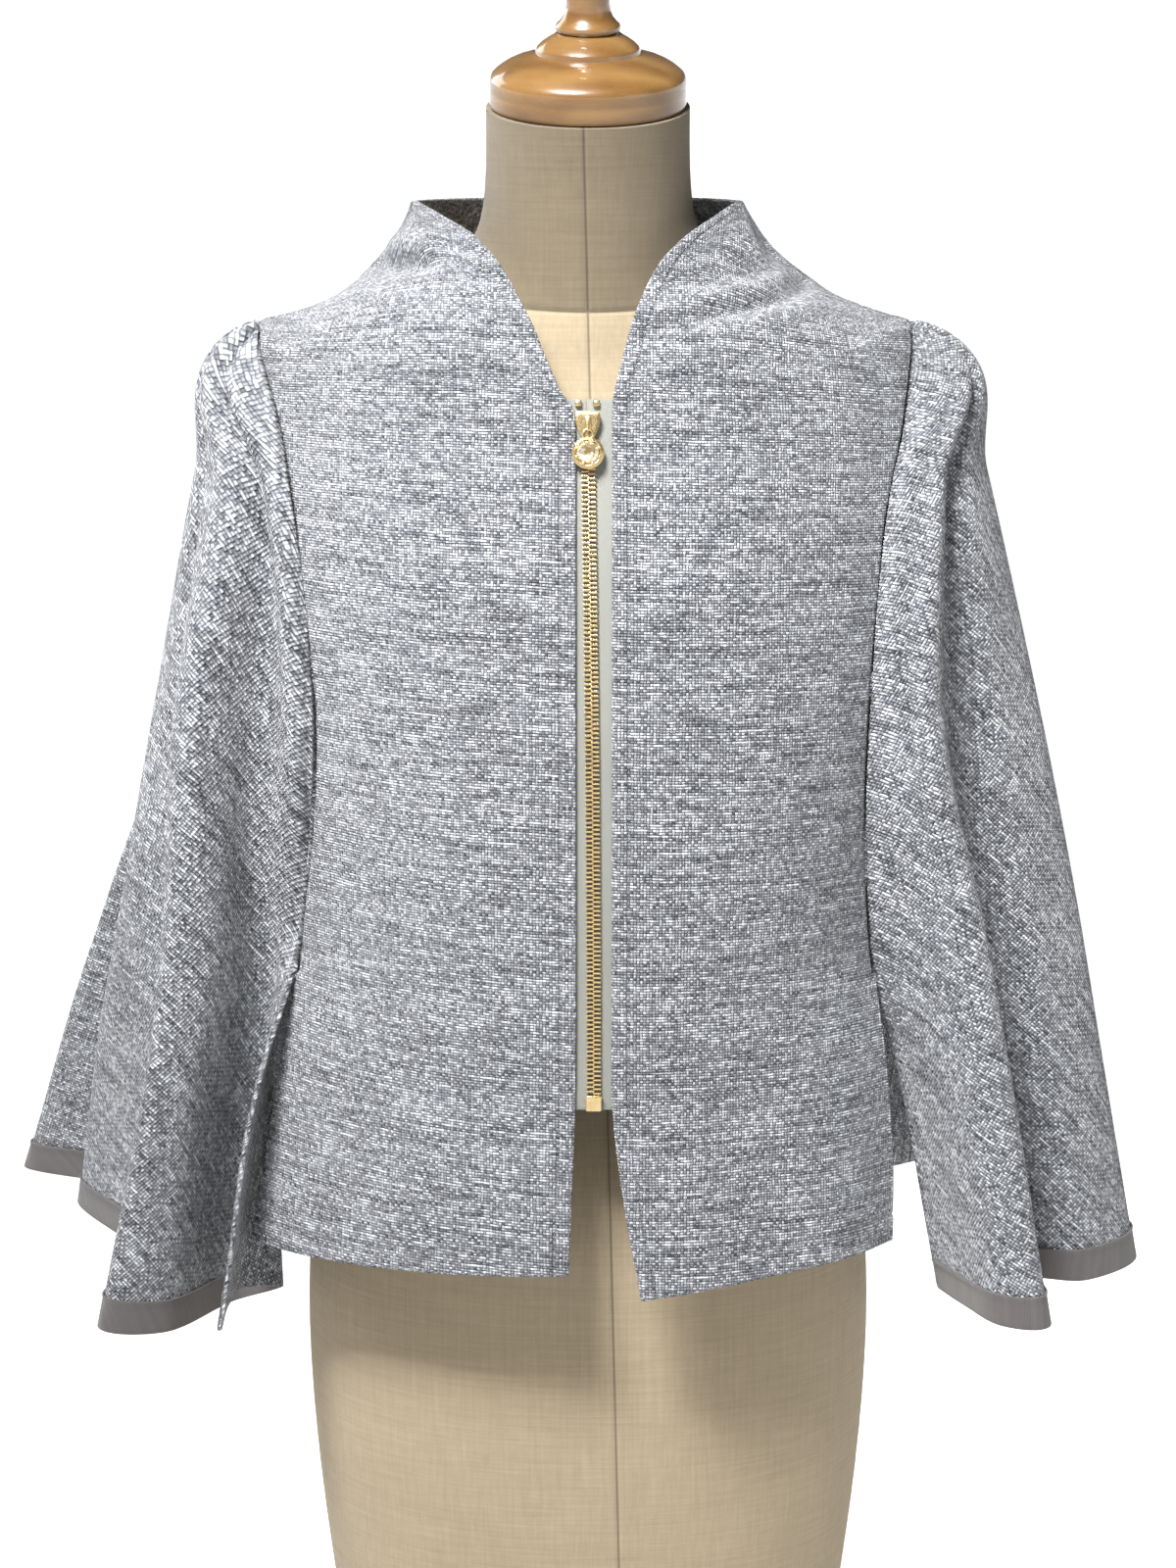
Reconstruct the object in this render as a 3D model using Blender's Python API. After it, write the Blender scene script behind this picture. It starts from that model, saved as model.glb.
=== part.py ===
"""A cape-sleeved bolero of thick tweed, worn by a limbless dress form on a short stand.

The wearer faces -Y, so +X is the wearer's left. Every panel of cloth is a wall between two grids of points:
its middle surface is worked out from a few named stations up the garment, and each wall's edges are mitred with
those of the panel that it is sewn to. The origin is the middle of the stand's underside.
"""

import math
from collections import namedtuple

import bmesh
import bpy
import numpy as np
from mathutils import Matrix, Vector

# Driving sizes, in metres
CLOTH = 0.0018
SEAM_GAP = 0.0008
CUT_GAP = 0.0003
BINDING_DEEP = 0.019
BINDING_CLOTH = 0.0010

# Rows and columns of each wall's grid
FRONT_COLUMNS = 12
BACK_COLUMNS = 24
CAPE_COLUMNS = 40
SKIRT_ROWS = 6
SLIT = 3
SHOULDER_POINT = 12
COLLAR_TOP = 20

# Stations up the garment, from the hem to the collar's peak. Each row gives the line where the fronts, the back
# and the capes meet: how far out it lies on the wearer's right and left, its place fore and aft for the front
# and for the back, and its height. From the shoulder point up, front and back meet in one shoulder seam.
Side = namedtuple("Side", "right left fore aft height")
SIDE_STATIONS = (
    Side(0.1855, 0.1665, -0.081, 0.092, 0.4640),
    Side(0.1785, 0.1672, -0.074, 0.084, 0.5050),
    Side(0.1690, 0.1635, -0.069, 0.078, 0.5600),
    Side(0.1590, 0.1560, -0.065, 0.074, 0.6150),
    Side(0.1550, 0.1525, -0.069, 0.077, 0.6500),
    Side(0.1490, 0.1500, -0.074, 0.080, 0.7000),
    Side(0.1465, 0.1510, -0.076, 0.080, 0.7600),
    Side(0.1525, 0.1555, -0.070, 0.074, 0.8200),
    Side(0.1570, 0.1600, -0.060, 0.064, 0.8640),
    Side(0.1650, 0.1690, -0.042, 0.048, 0.9075),
    Side(0.1766, 0.1750, -0.020, 0.022, 0.9460),
    Side(0.1785, 0.1757, -0.010, 0.011, 0.9590),
    Side(0.1785, 0.1755, 0.000, 0.000, 0.9635),
    Side(0.1650, 0.1640, 0.002, 0.002, 0.9665),
    Side(0.1500, 0.1500, 0.003, 0.003, 0.9710),
    Side(0.1360, 0.1340, 0.003, 0.003, 0.9775),
    Side(0.1240, 0.1200, 0.002, 0.002, 0.9870),
    Side(0.1140, 0.1060, 0.001, 0.001, 0.9975),
    Side(0.1050, 0.0960, -0.002, -0.002, 1.0080),
    Side(0.0990, 0.0890, -0.005, -0.005, 1.0180),
    Side(0.0950, 0.0830, -0.008, -0.008, 1.0285),
)

# The front edges at the same stations: the zip's two edges, then the open neckline up to the collar's peak.
# Steps gives the angles where a row's arc starts and ends, which make it flat in front or round at the neck.
Edge = namedtuple("Edge", "right left fore height start end")
FRONT_EDGE = (
    Edge(-0.0102, 0.0283, -0.158, 0.4710, 0, 48),
    Edge(-0.0085, 0.0190, -0.153, 0.5150, 0, 48),
    Edge(-0.0067, 0.0128, -0.149, 0.5625, 0, 48),
    Edge(-0.0062, 0.0125, -0.146, 0.6150, 0, 48),
    Edge(-0.0062, 0.0125, -0.145, 0.6500, 0, 50),
    Edge(-0.0062, 0.0125, -0.143, 0.7000, 0, 50),
    Edge(-0.0062, 0.0125, -0.139, 0.7600, 0, 52),
    Edge(-0.0062, 0.0125, -0.131, 0.8150, 0, 54),
    Edge(-0.0062, 0.0125, -0.123, 0.8550, 0, 56),
    Edge(-0.0062, 0.0125, -0.112, 0.8930, 0, 60),
    Edge(-0.0064, 0.0125, -0.105, 0.9180, 0, 66),
    Edge(-0.0085, 0.0128, -0.102, 0.9280, 0, 70),
    Edge(-0.0140, 0.0135, -0.100, 0.9350, 0, 74),
    Edge(-0.0222, 0.0182, -0.095, 0.9530, 0, 78),
    Edge(-0.0282, 0.0220, -0.090, 0.9675, 4, 80),
    Edge(-0.0347, 0.0268, -0.085, 0.9800, 8, 82),
    Edge(-0.0415, 0.0325, -0.079, 0.9920, 14, 84),
    Edge(-0.0490, 0.0400, -0.073, 1.0030, 20, 86),
    Edge(-0.0600, 0.0520, -0.061, 1.0135, 28, 87),
    Edge(-0.0755, 0.0660, -0.042, 1.0215, 40, 88),
    Edge(-0.0920, 0.0805, -0.014, 1.0290, 70, 88),
)

Centre = namedtuple("Centre", "aft height start end")
BACK_CENTRE = (
    Centre(0.150, 0.4600, 0, 50),
    Centre(0.142, 0.5000, 0, 50),
    Centre(0.133, 0.5600, 0, 50),
    Centre(0.127, 0.6150, 0, 50),
    Centre(0.124, 0.6500, 0, 52),
    Centre(0.122, 0.7000, 0, 54),
    Centre(0.123, 0.7600, 0, 56),
    Centre(0.126, 0.8200, 0, 58),
    Centre(0.127, 0.8640, 0, 60),
    Centre(0.124, 0.9075, 0, 64),
    Centre(0.119, 0.9380, 0, 68),
    Centre(0.117, 0.9500, 0, 72),
    Centre(0.115, 0.9590, 0, 76),
    Centre(0.112, 0.9670, 0, 78),
    Centre(0.109, 0.9740, 0, 80),
    Centre(0.105, 0.9820, 0, 82),
    Centre(0.101, 0.9910, 0, 84),
    Centre(0.097, 1.0010, 0, 86),
    Centre(0.094, 1.0090, 0, 87),
    Centre(0.0915, 1.0175, 0, 88),
    Centre(0.090, 1.0260, 0, 88),
)

# The left front's lower corner at the zip hangs lower than the right one's
LEFT_CORNER_DROP = 0.014

# Soft creases of the fronts and the back: where each one's middle lies (station, share of its row), how far it runs
# along the station and across the row, and how deep it dips in (or stands out, where it is negative). A front's
# rows run from the zip's edge (0) to the side (1), and the back's from the right side (-1) to the left (1).
Crease = namedtuple("Crease", "panel station share tall wide deep")
CREASES = (
    Crease("right", 16.6, 0.62, 0.9, 0.34, 0.0050),
    Crease("right", 14.3, 0.55, 1.3, 0.35, -0.0030),
    Crease("left", 16.3, 0.60, 0.9, 0.34, 0.0050),
    Crease("left", 14.2, 0.45, 1.2, 0.35, -0.0025),
    Crease("right", 2.2, 0.55, 1.6, 0.22, 0.0040),
    Crease("left", 1.2, 0.45, 1.8, 0.18, 0.0060),
    Crease("left", 0.8, 0.80, 1.6, 0.18, -0.0040),
    Crease("back", 16.4, 0.00, 0.9, 0.50, 0.0035),
    Crease("back", 13.6, 0.00, 1.2, 0.45, -0.0025),
    Crease("back", 0.6, 0.46, 1.8, 0.16, 0.0050),
    Crease("back", 0.7, -0.40, 1.8, 0.17, -0.0045),
    Crease("back", 0.9, -0.74, 1.6, 0.14, 0.0035),
    Crease("back", 0.9, 0.80, 1.6, 0.14, -0.0030),
    Crease("back", 0.8, 0.04, 1.6, 0.16, -0.0035),
)

# How steeply the back's creases fade towards its side seams
BACK_FADE = 12

# The capes' fold lines, from the front edge round the arm to the back edge. Each runs from the shoulder point to
# the hem, and the table gives its place (out, aft) at three heights and at the hem, and its share of the way round.
Fold = namedtuple("Fold", "share chest bust waist skirt hem rise")
CAPE_HEIGHTS = (0.880, 0.760, 0.620, 0.560)
CAPE_HEM = 0.4400
RIGHT_FOLDS = (
    Fold(0.00, (0.160, -0.055), (0.1465, -0.076), (0.159, -0.067), (0.1780, -0.094), (0.1960, -0.128), 0.009),
    Fold(0.06, (0.165, -0.056), (0.154, -0.078), (0.165, -0.060), (0.1780, -0.075), (0.1950, -0.097), 0.012),
    Fold(0.095, (0.168, -0.056), (0.159, -0.078), (0.169, -0.056), (0.1765, -0.060), (0.1905, -0.076), 0.014),
    Fold(0.13, (0.171, -0.056), (0.164, -0.077), (0.173, -0.054), (0.1765, -0.052), (0.1730, -0.062), 0.010),
    Fold(0.20, (0.177, -0.055), (0.178, -0.072), (0.186, -0.058), (0.1920, -0.054), (0.2000, -0.052), -0.003),
    Fold(0.29, (0.189, -0.050), (0.203, -0.074), (0.209, -0.085), (0.2200, -0.091), (0.2320, -0.099), -0.003),
    Fold(0.37, (0.201, -0.042), (0.220, -0.070), (0.2305, -0.086), (0.2400, -0.093), (0.2640, -0.103), 0.001),
    Fold(0.46, (0.211, -0.022), (0.228, -0.030), (0.228, -0.034), (0.2320, -0.032), (0.2420, -0.024), 0.003),
    Fold(0.57, (0.216, 0.003), (0.241, 0.008), (0.268, 0.016), (0.2810, 0.036), (0.3000, 0.068), 0.013),
    Fold(0.66, (0.214, 0.023), (0.236, 0.042), (0.250, 0.062), (0.2570, 0.074), (0.2660, 0.092), 0.014),
    Fold(0.77, (0.207, 0.043), (0.231, 0.072), (0.282, 0.095), (0.3030, 0.108), (0.3380, 0.130), 0.015),
    Fold(0.86, (0.195, 0.060), (0.208, 0.093), (0.228, 0.118), (0.2400, 0.132), (0.2620, 0.155), 0.014),
    Fold(0.93, (0.180, 0.066), (0.182, 0.100), (0.200, 0.132), (0.2120, 0.152), (0.2350, 0.188), 0.010),
    Fold(1.00, (0.160, 0.060), (0.1465, 0.080), (0.159, 0.076), (0.1690, 0.100), (0.1830, 0.148), 0.006),
)
LEFT_FOLDS = (
    Fold(0.00, (0.163, -0.056), (0.151, -0.076), (0.1565, -0.063), (0.1720, -0.050), (0.1960, -0.040), 0.000),
    Fold(0.09, (0.170, -0.057), (0.161, -0.080), (0.175, -0.074), (0.1860, -0.067), (0.2080, -0.066), 0.000),
    Fold(0.18, (0.178, -0.056), (0.172, -0.082), (0.198, -0.090), (0.2080, -0.093), (0.2260, -0.098), 0.000),
    Fold(0.27, (0.187, -0.051), (0.184, -0.077), (0.2165, -0.088), (0.2290, -0.092), (0.2500, -0.100), 0.001),
    Fold(0.36, (0.197, -0.043), (0.205, -0.050), (0.222, -0.044), (0.2290, -0.038), (0.2420, -0.030), 0.002),
    Fold(0.45, (0.208, -0.028), (0.228, -0.032), (0.251, -0.036), (0.2610, -0.035), (0.2800, -0.034), 0.003),
    Fold(0.55, (0.2195, 0.003), (0.250, 0.003), (0.279, 0.003), (0.2900, 0.005), (0.3120, 0.008), 0.004),
    Fold(0.64, (0.214, 0.030), (0.236, 0.042), (0.250, 0.050), (0.2560, 0.053), (0.2700, 0.058), 0.006),
    Fold(0.74, (0.205, 0.048), (0.232, 0.074), (0.268, 0.093), (0.2800, 0.101), (0.3050, 0.117), 0.010),
    Fold(0.83, (0.195, 0.060), (0.210, 0.092), (0.225, 0.108), (0.2330, 0.115), (0.2500, 0.128), 0.010),
    Fold(0.92, (0.180, 0.065), (0.184, 0.100), (0.205, 0.132), (0.2150, 0.148), (0.2350, 0.180), 0.008),
    Fold(1.00, (0.163, 0.060), (0.151, 0.080), (0.1565, 0.076), (0.1680, 0.098), (0.1820, 0.148), 0.006),
)
CROWN_HEIGHT = 0.945
CROWN_OUT = {"right": 0.1985, "left": 0.1995}
CROWN_DEEP = 0.020
CROWN_RISE = (0.010, 0.006)

# The dress form's rings, from its foot to the top of its neck
Ring = namedtuple("Ring", "wide fore aft height dip lift centre power")
FORM_RINGS = (
    Ring(0.148, 0.100, 0.106, 0.2250, 0.000, 0.000, 0.000, 2),
    Ring(0.158, 0.106, 0.113, 0.3000, 0.000, 0.000, 0.000, 2),
    Ring(0.164, 0.110, 0.118, 0.3900, 0.000, 0.000, 0.000, 2),
    Ring(0.160, 0.110, 0.114, 0.4700, 0.000, 0.000, 0.000, 2),
    Ring(0.140, 0.101, 0.097, 0.5450, 0.000, 0.000, 0.000, 2),
    Ring(0.119, 0.090, 0.080, 0.6150, 0.000, 0.000, 0.000, 2),
    Ring(0.122, 0.096, 0.083, 0.6750, 0.000, 0.000, 0.000, 2),
    Ring(0.133, 0.112, 0.092, 0.7350, 0.000, 0.000, 0.000, 2),
    Ring(0.140, 0.118, 0.100, 0.7850, 0.000, 0.000, 0.000, 2),
    Ring(0.143, 0.108, 0.104, 0.8400, 0.000, 0.000, 0.000, 2),
    Ring(0.150, 0.091, 0.103, 0.8950, 0.004, 0.000, 0.000, 2),
    Ring(0.162, 0.082, 0.099, 0.9350, 0.018, 0.004, 0.000, 2),
    Ring(0.169, 0.078, 0.096, 0.9520, 0.027, 0.006, 0.000, 2),
    Ring(0.1635, 0.076, 0.094, 0.9648, 0.034, 0.012, 0.000, 1.4),
    Ring(0.150, 0.074, 0.091, 0.9695, 0.033, 0.009, 0.000, 1.4),
    Ring(0.137, 0.072, 0.087, 0.9733, 0.031, 0.005, 0.000, 1.6),
    Ring(0.118, 0.070, 0.081, 0.9790, 0.028, 0.001, 0.000, 2),
    Ring(0.095, 0.068, 0.073, 0.9860, 0.027, -0.002, -0.001, 2),
    Ring(0.076, 0.065, 0.065, 0.9945, 0.026, -0.004, -0.002, 2),
    Ring(0.0625, 0.061, 0.058, 1.0060, 0.024, -0.006, -0.004, 2),
    Ring(0.0565, 0.0565, 0.0555, 1.0250, 0.016, -0.010, -0.008, 1),
    Ring(0.0550, 0.0545, 0.0545, 1.0530, 0.0106, -0.0106, -0.012, 1),
    Ring(0.0550, 0.0545, 0.0545, 1.0790, 0.0106, -0.0106, -0.016, 1),
)
FORM_SIDES = 28
NECK_TILT = math.atan2(FORM_RINGS[-1].dip, FORM_RINGS[-1].fore)

# Turned profiles, as (radius, height) from the piece's own foot
CAP_PROFILE = (
    (0.0522, 0.0000), (0.0528, 0.0020), (0.0528, 0.0150), (0.0508, 0.0190), (0.0425, 0.0245),
    (0.0300, 0.0282), (0.0275, 0.0295), (0.0275, 0.0318), (0.0240, 0.0350), (0.0165, 0.0395),
)
FINIAL_PROFILE = (
    (0.0155, 0.0000), (0.0172, 0.0015), (0.0174, 0.0035), (0.0150, 0.0060), (0.0125, 0.0100),
    (0.0115, 0.0150), (0.0120, 0.0210), (0.0160, 0.0300), (0.0178, 0.0390), (0.0150, 0.0490), (0.0080, 0.0545),
)
TURNED_SIDES = 24
POLE_RADIUS = 0.0125
COLLAR_RADIUS = 0.018
COLLAR_TALL = 0.012
FLANGE_RADIUS = 0.036
FLANGE_THICK = 0.006
BASE_RADIUS = 0.150
BASE_THICK = 0.012
BASE_EDGE = 0.004
BOSS_RADIUS = 0.022
BOSS_TOP_RADIUS = 0.019
BOSS_HEIGHT = 0.022

# The zip, which lies a little to the wearer's left of the middle
ZIP_CENTRE = 0.0030
ZIP_TOP_SHIFT = -0.0034
ZIP_TOP = 0.9310
ZIP_FOOT = 0.5600
CHAIN_WIDE = 0.0075
CHAIN_THICK = 0.0021
TAPE_WIDE = 0.0150
TAPE_SLOT = 0.0010
TAPE_THICK = 0.0007
TAPE_CLEAR = 0.0005
BOX_WIDE = 0.0082
BOX_TALL = 0.0085
BOX_THICK = 0.0034
STOP_NEAR = 0.0030
STOP_WIDE = 0.0034
STOP_TALL = 0.0035
STOP_THICK = 0.0022
STRIP_STEP = 0.024
STRIP_END = 0.004

# The slider leans with the zip. Its bail is a small ring on its face, and the charm's ring hangs in that.
SLIDER_FOOT = 0.9105
SLIDER_TALL = 0.0145
SLIDER_THICK = 0.0040
SLIDER_CLEAR = 0.0014
BAIL_RADIUS = 0.0015
BAIL_WIRE = 0.00045
BAIL_PROUD = 0.0009
BAIL_HEIGHT = 0.0052
ZIP_BACK = CLOTH / 2 + TAPE_CLEAR - CUT_GAP
SLIDER_FACE = ZIP_BACK - SLIDER_THICK
HINGE = (0, SLIDER_FACE - BAIL_PROUD, BAIL_HEIGHT)
SLIDER_OUTLINE = ((0.0028, 0.0), (0.0033, 0.0050), (0.0050, 0.0100), (0.0048, SLIDER_TALL), (0.0020, SLIDER_TALL))
SLIDER_NOTCH = 0.003
RING_RADIUS = 0.0026
RING_WIRE = 0.0005
CHARM_PROFILE = ((0.0046, 0.0000), (0.0072, 0.0018), (0.0082, 0.0036), (0.0072, 0.0055), (0.0043, 0.0073))
CHARM_SIDES = 16

Finish = namedtuple("Finish", "colour rough metal")
FINISHES = {
    "tweed": Finish((0.43, 0.45, 0.49), 0.95, 0.0),
    "ribbon": Finish((0.36, 0.34, 0.34), 0.6, 0.0),
    "zip_tape": Finish((0.52, 0.54, 0.53), 0.9, 0.0),
    "gold": Finish((0.86, 0.66, 0.33), 0.22, 1.0),
    "linen": Finish((0.68, 0.62, 0.50), 0.9, 0.0),
    "varnished_wood": Finish((0.56, 0.33, 0.13), 0.2, 0.0),
    "steel": Finish((0.55, 0.55, 0.56), 0.3, 1.0),
    "black_paint": Finish((0.03, 0.03, 0.032), 0.4, 0.0),
}


def clear_scene():
    for old in list(bpy.data.objects):
        bpy.data.objects.remove(old, do_unlink=True)


def material(name):
    found = bpy.data.materials.get(name)
    if found:
        return found
    finish = FINISHES[name]
    made = bpy.data.materials.new(name)
    made.use_nodes = True
    shader = made.node_tree.nodes["Principled BSDF"]
    shader.inputs["Base Color"].default_value = (*finish.colour, 1)
    shader.inputs["Roughness"].default_value = finish.rough
    shader.inputs["Metallic"].default_value = finish.metal
    return made


def smooth(knots, values, at):
    """The values at the knots, joined by a smooth curve and read at each place."""
    knots = np.asarray(knots, float)
    values = np.asarray(values, float).reshape(len(knots), -1)
    step = np.diff(knots)[:, None]
    slope = np.diff(values, axis=0) / step
    inner = (slope[:-1] * step[1:] + slope[1:] * step[:-1]) / (step[1:] + step[:-1])
    tangent = np.vstack([slope[:1], inner, slope[-1:]])
    at = np.atleast_1d(np.asarray(at, float))
    span = np.clip(np.searchsorted(knots, at, side="right") - 1, 0, len(knots) - 2)
    length = step[span]
    t = (at - knots[span])[:, None] / length
    return (
        values[span] * (2 * t**3 - 3 * t**2 + 1)
        + values[span + 1] * (3 * t**2 - 2 * t**3)
        + tangent[span] * length * (t**3 - 2 * t**2 + t)
        + tangent[span + 1] * length * (t**3 - t**2)
    )


def column(table, *names):
    return [[getattr(row, name) for name in names] for row in table]


def side_line(side, face, stations):
    """Points of the line where that side's panel ends, on its front or its back face."""
    sign = -1 if side == "right" else 1
    found = smooth(range(len(SIDE_STATIONS)), column(SIDE_STATIONS, side, face, "height"), stations)
    found[:, 0] *= sign
    return found


def arc_shares(start, end, shares):
    """How far out and how far round a row has come at each share of its arc."""
    turn = np.radians(start[:, None] + (end - start)[:, None] * shares[None, :])
    first, last = np.radians(start)[:, None], np.radians(end)[:, None]
    out = (np.sin(turn) - np.sin(first)) / (np.sin(last) - np.sin(first))
    back = (np.cos(first) - np.cos(turn)) / (np.cos(first) - np.cos(last))
    return out, back


def grid_normals(grid):
    """A unit normal at each point of a grid, from its neighbours along both directions."""
    down, across = np.gradient(grid, axis=0), np.gradient(grid, axis=1)
    normal = np.cross(across, down)
    return normal / np.maximum(np.linalg.norm(normal, axis=2, keepdims=True), 1e-12)


def creased(grid, panel, stations, shares, facing, fade=1.0):
    """A panel's grid with its creases dipped in against its facing."""
    for crease in CREASES:
        if crease.panel == panel:
            along = ((stations - crease.station) / crease.tall)[:, None]
            across = ((shares - crease.share) / crease.wide)[None, :]
            dip = crease.deep * np.exp(-(along**2) - across**2) * fade
            grid = grid - facing * dip[..., None]
    return grid


def front_rows():
    return np.concatenate([np.linspace(0, SLIT, SKIRT_ROWS + 1), np.arange(SLIT + 1, COLLAR_TOP + 1)])


def front_grid(side):
    """The middle surface of a front: rows from hem to collar, columns from the zip's edge to the side."""
    stations = front_rows()
    edge = smooth(range(len(FRONT_EDGE)), column(FRONT_EDGE, side, "fore", "height"), stations)
    start, end = smooth(range(len(FRONT_EDGE)), column(FRONT_EDGE, "start", "end"), stations).T
    far = side_line(side, "fore", stations)
    shares = np.linspace(0, 1, FRONT_COLUMNS + 1)
    out, back = arc_shares(start, end, shares)
    grid = np.empty((len(stations), len(shares), 3))
    grid[..., 0] = edge[:, None, 0] + (far - edge)[:, None, 0] * out
    grid[..., 1] = edge[:, None, 1] + (far - edge)[:, None, 1] * back
    grid[..., 2] = edge[:, None, 2] + (far - edge)[:, None, 2] * shares
    if side == "left":
        low = np.clip(1 - stations / SLIT, 0, 1)[:, None] ** 2
        grid[..., 2] -= LEFT_CORNER_DROP * low * (1 - shares[None, :]) ** 2
    facing = grid_normals(grid)
    facing *= -np.sign(facing[SLIT, 1, 1])
    fade = np.sin(np.pi * np.clip(shares * 0.5 + 0.5, 0, 1)) ** 0.5
    return creased(grid, side, stations, shares, facing, fade)


def back_grid():
    """The middle surface of the back: rows from hem to collar, columns from the right side to the left."""
    stations = front_rows()
    centre = smooth(range(len(BACK_CENTRE)), column(BACK_CENTRE, "aft", "height"), stations)
    start, end = smooth(range(len(BACK_CENTRE)), column(BACK_CENTRE, "start", "end"), stations).T
    halves = []
    shares = np.linspace(0, 1, BACK_COLUMNS // 2 + 1)
    out, back = arc_shares(start, end, shares)
    for side in ("right", "left"):
        far = side_line(side, "aft", stations)
        half = np.empty((len(stations), len(shares), 3))
        half[..., 0] = far[:, None, 0] * out
        half[..., 1] = centre[:, None, 0] + (far[:, 1] - centre[:, 0])[:, None] * back
        half[..., 2] = centre[:, None, 1] + (far[:, 2] - centre[:, 1])[:, None] * shares
        halves.append(half)
    grid = np.concatenate([halves[0][:, ::-1], halves[1][:, 1:]], axis=1)
    facing = grid_normals(grid)
    facing *= np.sign(facing[SLIT, len(shares) - 1, 1])
    across = np.concatenate([-shares[::-1], shares[1:]])
    return creased(grid, "back", stations, across, facing, np.clip((1 - np.abs(across)) * BACK_FADE, 0, 1))


def cape_stations():
    """Stations of the cape's rows, from just under the shoulder point down to the slit."""
    return np.arange(SHOULDER_POINT - 1, SLIT - 1, -1.0)


def cape_grid(side):
    """The middle surface of a cape: rows from the shoulder to the hem, columns from the front edge to the back.

    Its last two rows are the upper and lower edges of the ribbon that binds it."""
    sign = -1 if side == "right" else 1
    folds = RIGHT_FOLDS if side == "right" else LEFT_FOLDS
    shares = np.linspace(0, 1, CAPE_COLUMNS + 1)
    knots = [fold.share for fold in folds]
    seam_stations = cape_stations()
    fore, aft = side_line(side, "fore", seam_stations), side_line(side, "aft", seam_stations)
    seam_heights = fore[:, 2]
    skirt_heights = np.linspace(seam_heights[-1], CAPE_HEM, SKIRT_ROWS + 2)[1:]
    heights = np.concatenate([seam_heights, skirt_heights])

    def level(name):
        return smooth(knots, [getattr(fold, name) for fold in folds], shares)

    around = np.pi * shares
    crown = np.stack(
        [
            abs(fore[1, 0]) + (CROWN_OUT[side] - abs(fore[1, 0])) * np.sin(around) ** 0.8,
            -CROWN_DEEP * np.cos(around),
        ],
        axis=1,
    )
    point = abs(side_line(side, "fore", [SHOULDER_POINT])[0, 0])
    corners = np.array([(abs(fore[0, 0]), fore[0, 1]), (point, 0), (abs(aft[0, 0]), aft[0, 1])])
    top = np.stack([np.interp(shares, (0, 0.5, 1), corners[:, i]) for i in (0, 1)], axis=1)
    names = ("hem", "skirt", "waist", "bust", "chest")
    levels = np.stack([level(name) for name in names] + [crown, top])
    level_heights = (CAPE_HEM, *CAPE_HEIGHTS[::-1], CROWN_HEIGHT, seam_heights[0])
    flat = levels.reshape(len(levels), -1)
    grid = np.empty((len(heights), len(shares), 3))
    grid[..., :2] = smooth(level_heights, flat, heights).reshape(len(heights), len(shares), 2)
    grid[..., 0] *= sign
    grid[..., 2] = heights[:, None]
    peak = SIDE_STATIONS[SHOULDER_POINT].height
    grid[0, :, 2] = np.interp(shares, (0, 0.5, 1), (fore[0, 2], peak, aft[0, 2]))
    lift = np.sin(around) ** 2
    for row, rise in enumerate(CROWN_RISE, start=1):
        grid[row, :, 2] += rise * lift
    grid[: len(fore), 0] = fore
    grid[: len(aft), -1] = aft
    rise = smooth(knots, column(folds, "rise"), shares)[:, 0]
    share_down = np.clip((heights[:, None] - seam_heights[-1]) / (CAPE_HEM - seam_heights[-1]), 0, 1)
    grid[..., 2] += rise * share_down**1.5
    fall = grid[-1] - grid[-2]
    fall /= np.linalg.norm(fall, axis=1, keepdims=True)
    return np.concatenate([grid, (grid[-1] + fall * BINDING_DEEP)[None]])


def mitre(normals):
    """The direction in which a seam's edges are cut, and how long it is, from the normals of what meets there."""
    total = np.sum(normals, axis=0)
    total /= np.linalg.norm(total, axis=-1, keepdims=True)
    slant = np.clip(np.sum(total * normals[0], axis=-1, keepdims=True), 0.6, 1)
    return total / slant


def shorten(grid, gap, edges):
    """The grid with the named edges drawn back, so that neighbours stay clear of each other."""
    made = grid.copy()
    for edge in edges:
        view = {"first_row": made, "last_row": made[::-1]}.get(edge)
        if view is None:
            view = np.swapaxes(made if edge == "first_column" else made[:, ::-1], 0, 1)
        along = view[1] - view[0]
        along /= np.maximum(np.linalg.norm(along, axis=1, keepdims=True), 1e-9)
        view[0] += along * gap
    return made


def wall(name, grid, normals, thick, finish):
    """A closed wall of cloth on both sides of a grid of points, with the same diagonals on both."""
    rows, columns = grid.shape[:2]
    mesh = bmesh.new()
    outer, inner = (
        [[mesh.verts.new(point) for point in row] for row in grid + normals * side * thick / 2] for side in (1, -1)
    )

    def cell(one, two, three, four):
        mesh.faces.new((one, two, three))
        mesh.faces.new((one, three, four))

    for r in range(rows - 1):
        for c in range(columns - 1):
            cell(outer[r][c], outer[r][c + 1], outer[r + 1][c + 1], outer[r + 1][c])
            cell(inner[r + 1][c + 1], inner[r][c + 1], inner[r][c], inner[r + 1][c])
    rim = [(0, c) for c in range(columns)] + [(r, columns - 1) for r in range(1, rows)]
    rim += [(rows - 1, c) for c in range(columns - 2, -1, -1)] + [(r, 0) for r in range(rows - 2, 0, -1)]
    for (r, c), (r_next, c_next) in zip(rim, rim[1:] + rim[:1]):
        cell(outer[r_next][c_next], outer[r][c], inner[r][c], inner[r_next][c_next])
    bmesh.ops.recalc_face_normals(mesh, faces=mesh.faces)
    return finished(name, mesh, finish)


def finished(name, mesh, finish, place=None):
    """A bmesh as a named object with its material."""
    data = bpy.data.meshes.new(name)
    mesh.to_mesh(data)
    mesh.free()
    if place is not None:
        data.transform(place)
    data.materials.append(material(finish))
    made = bpy.data.objects.new(name, data)
    bpy.context.scene.collection.objects.link(made)
    return made


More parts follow.
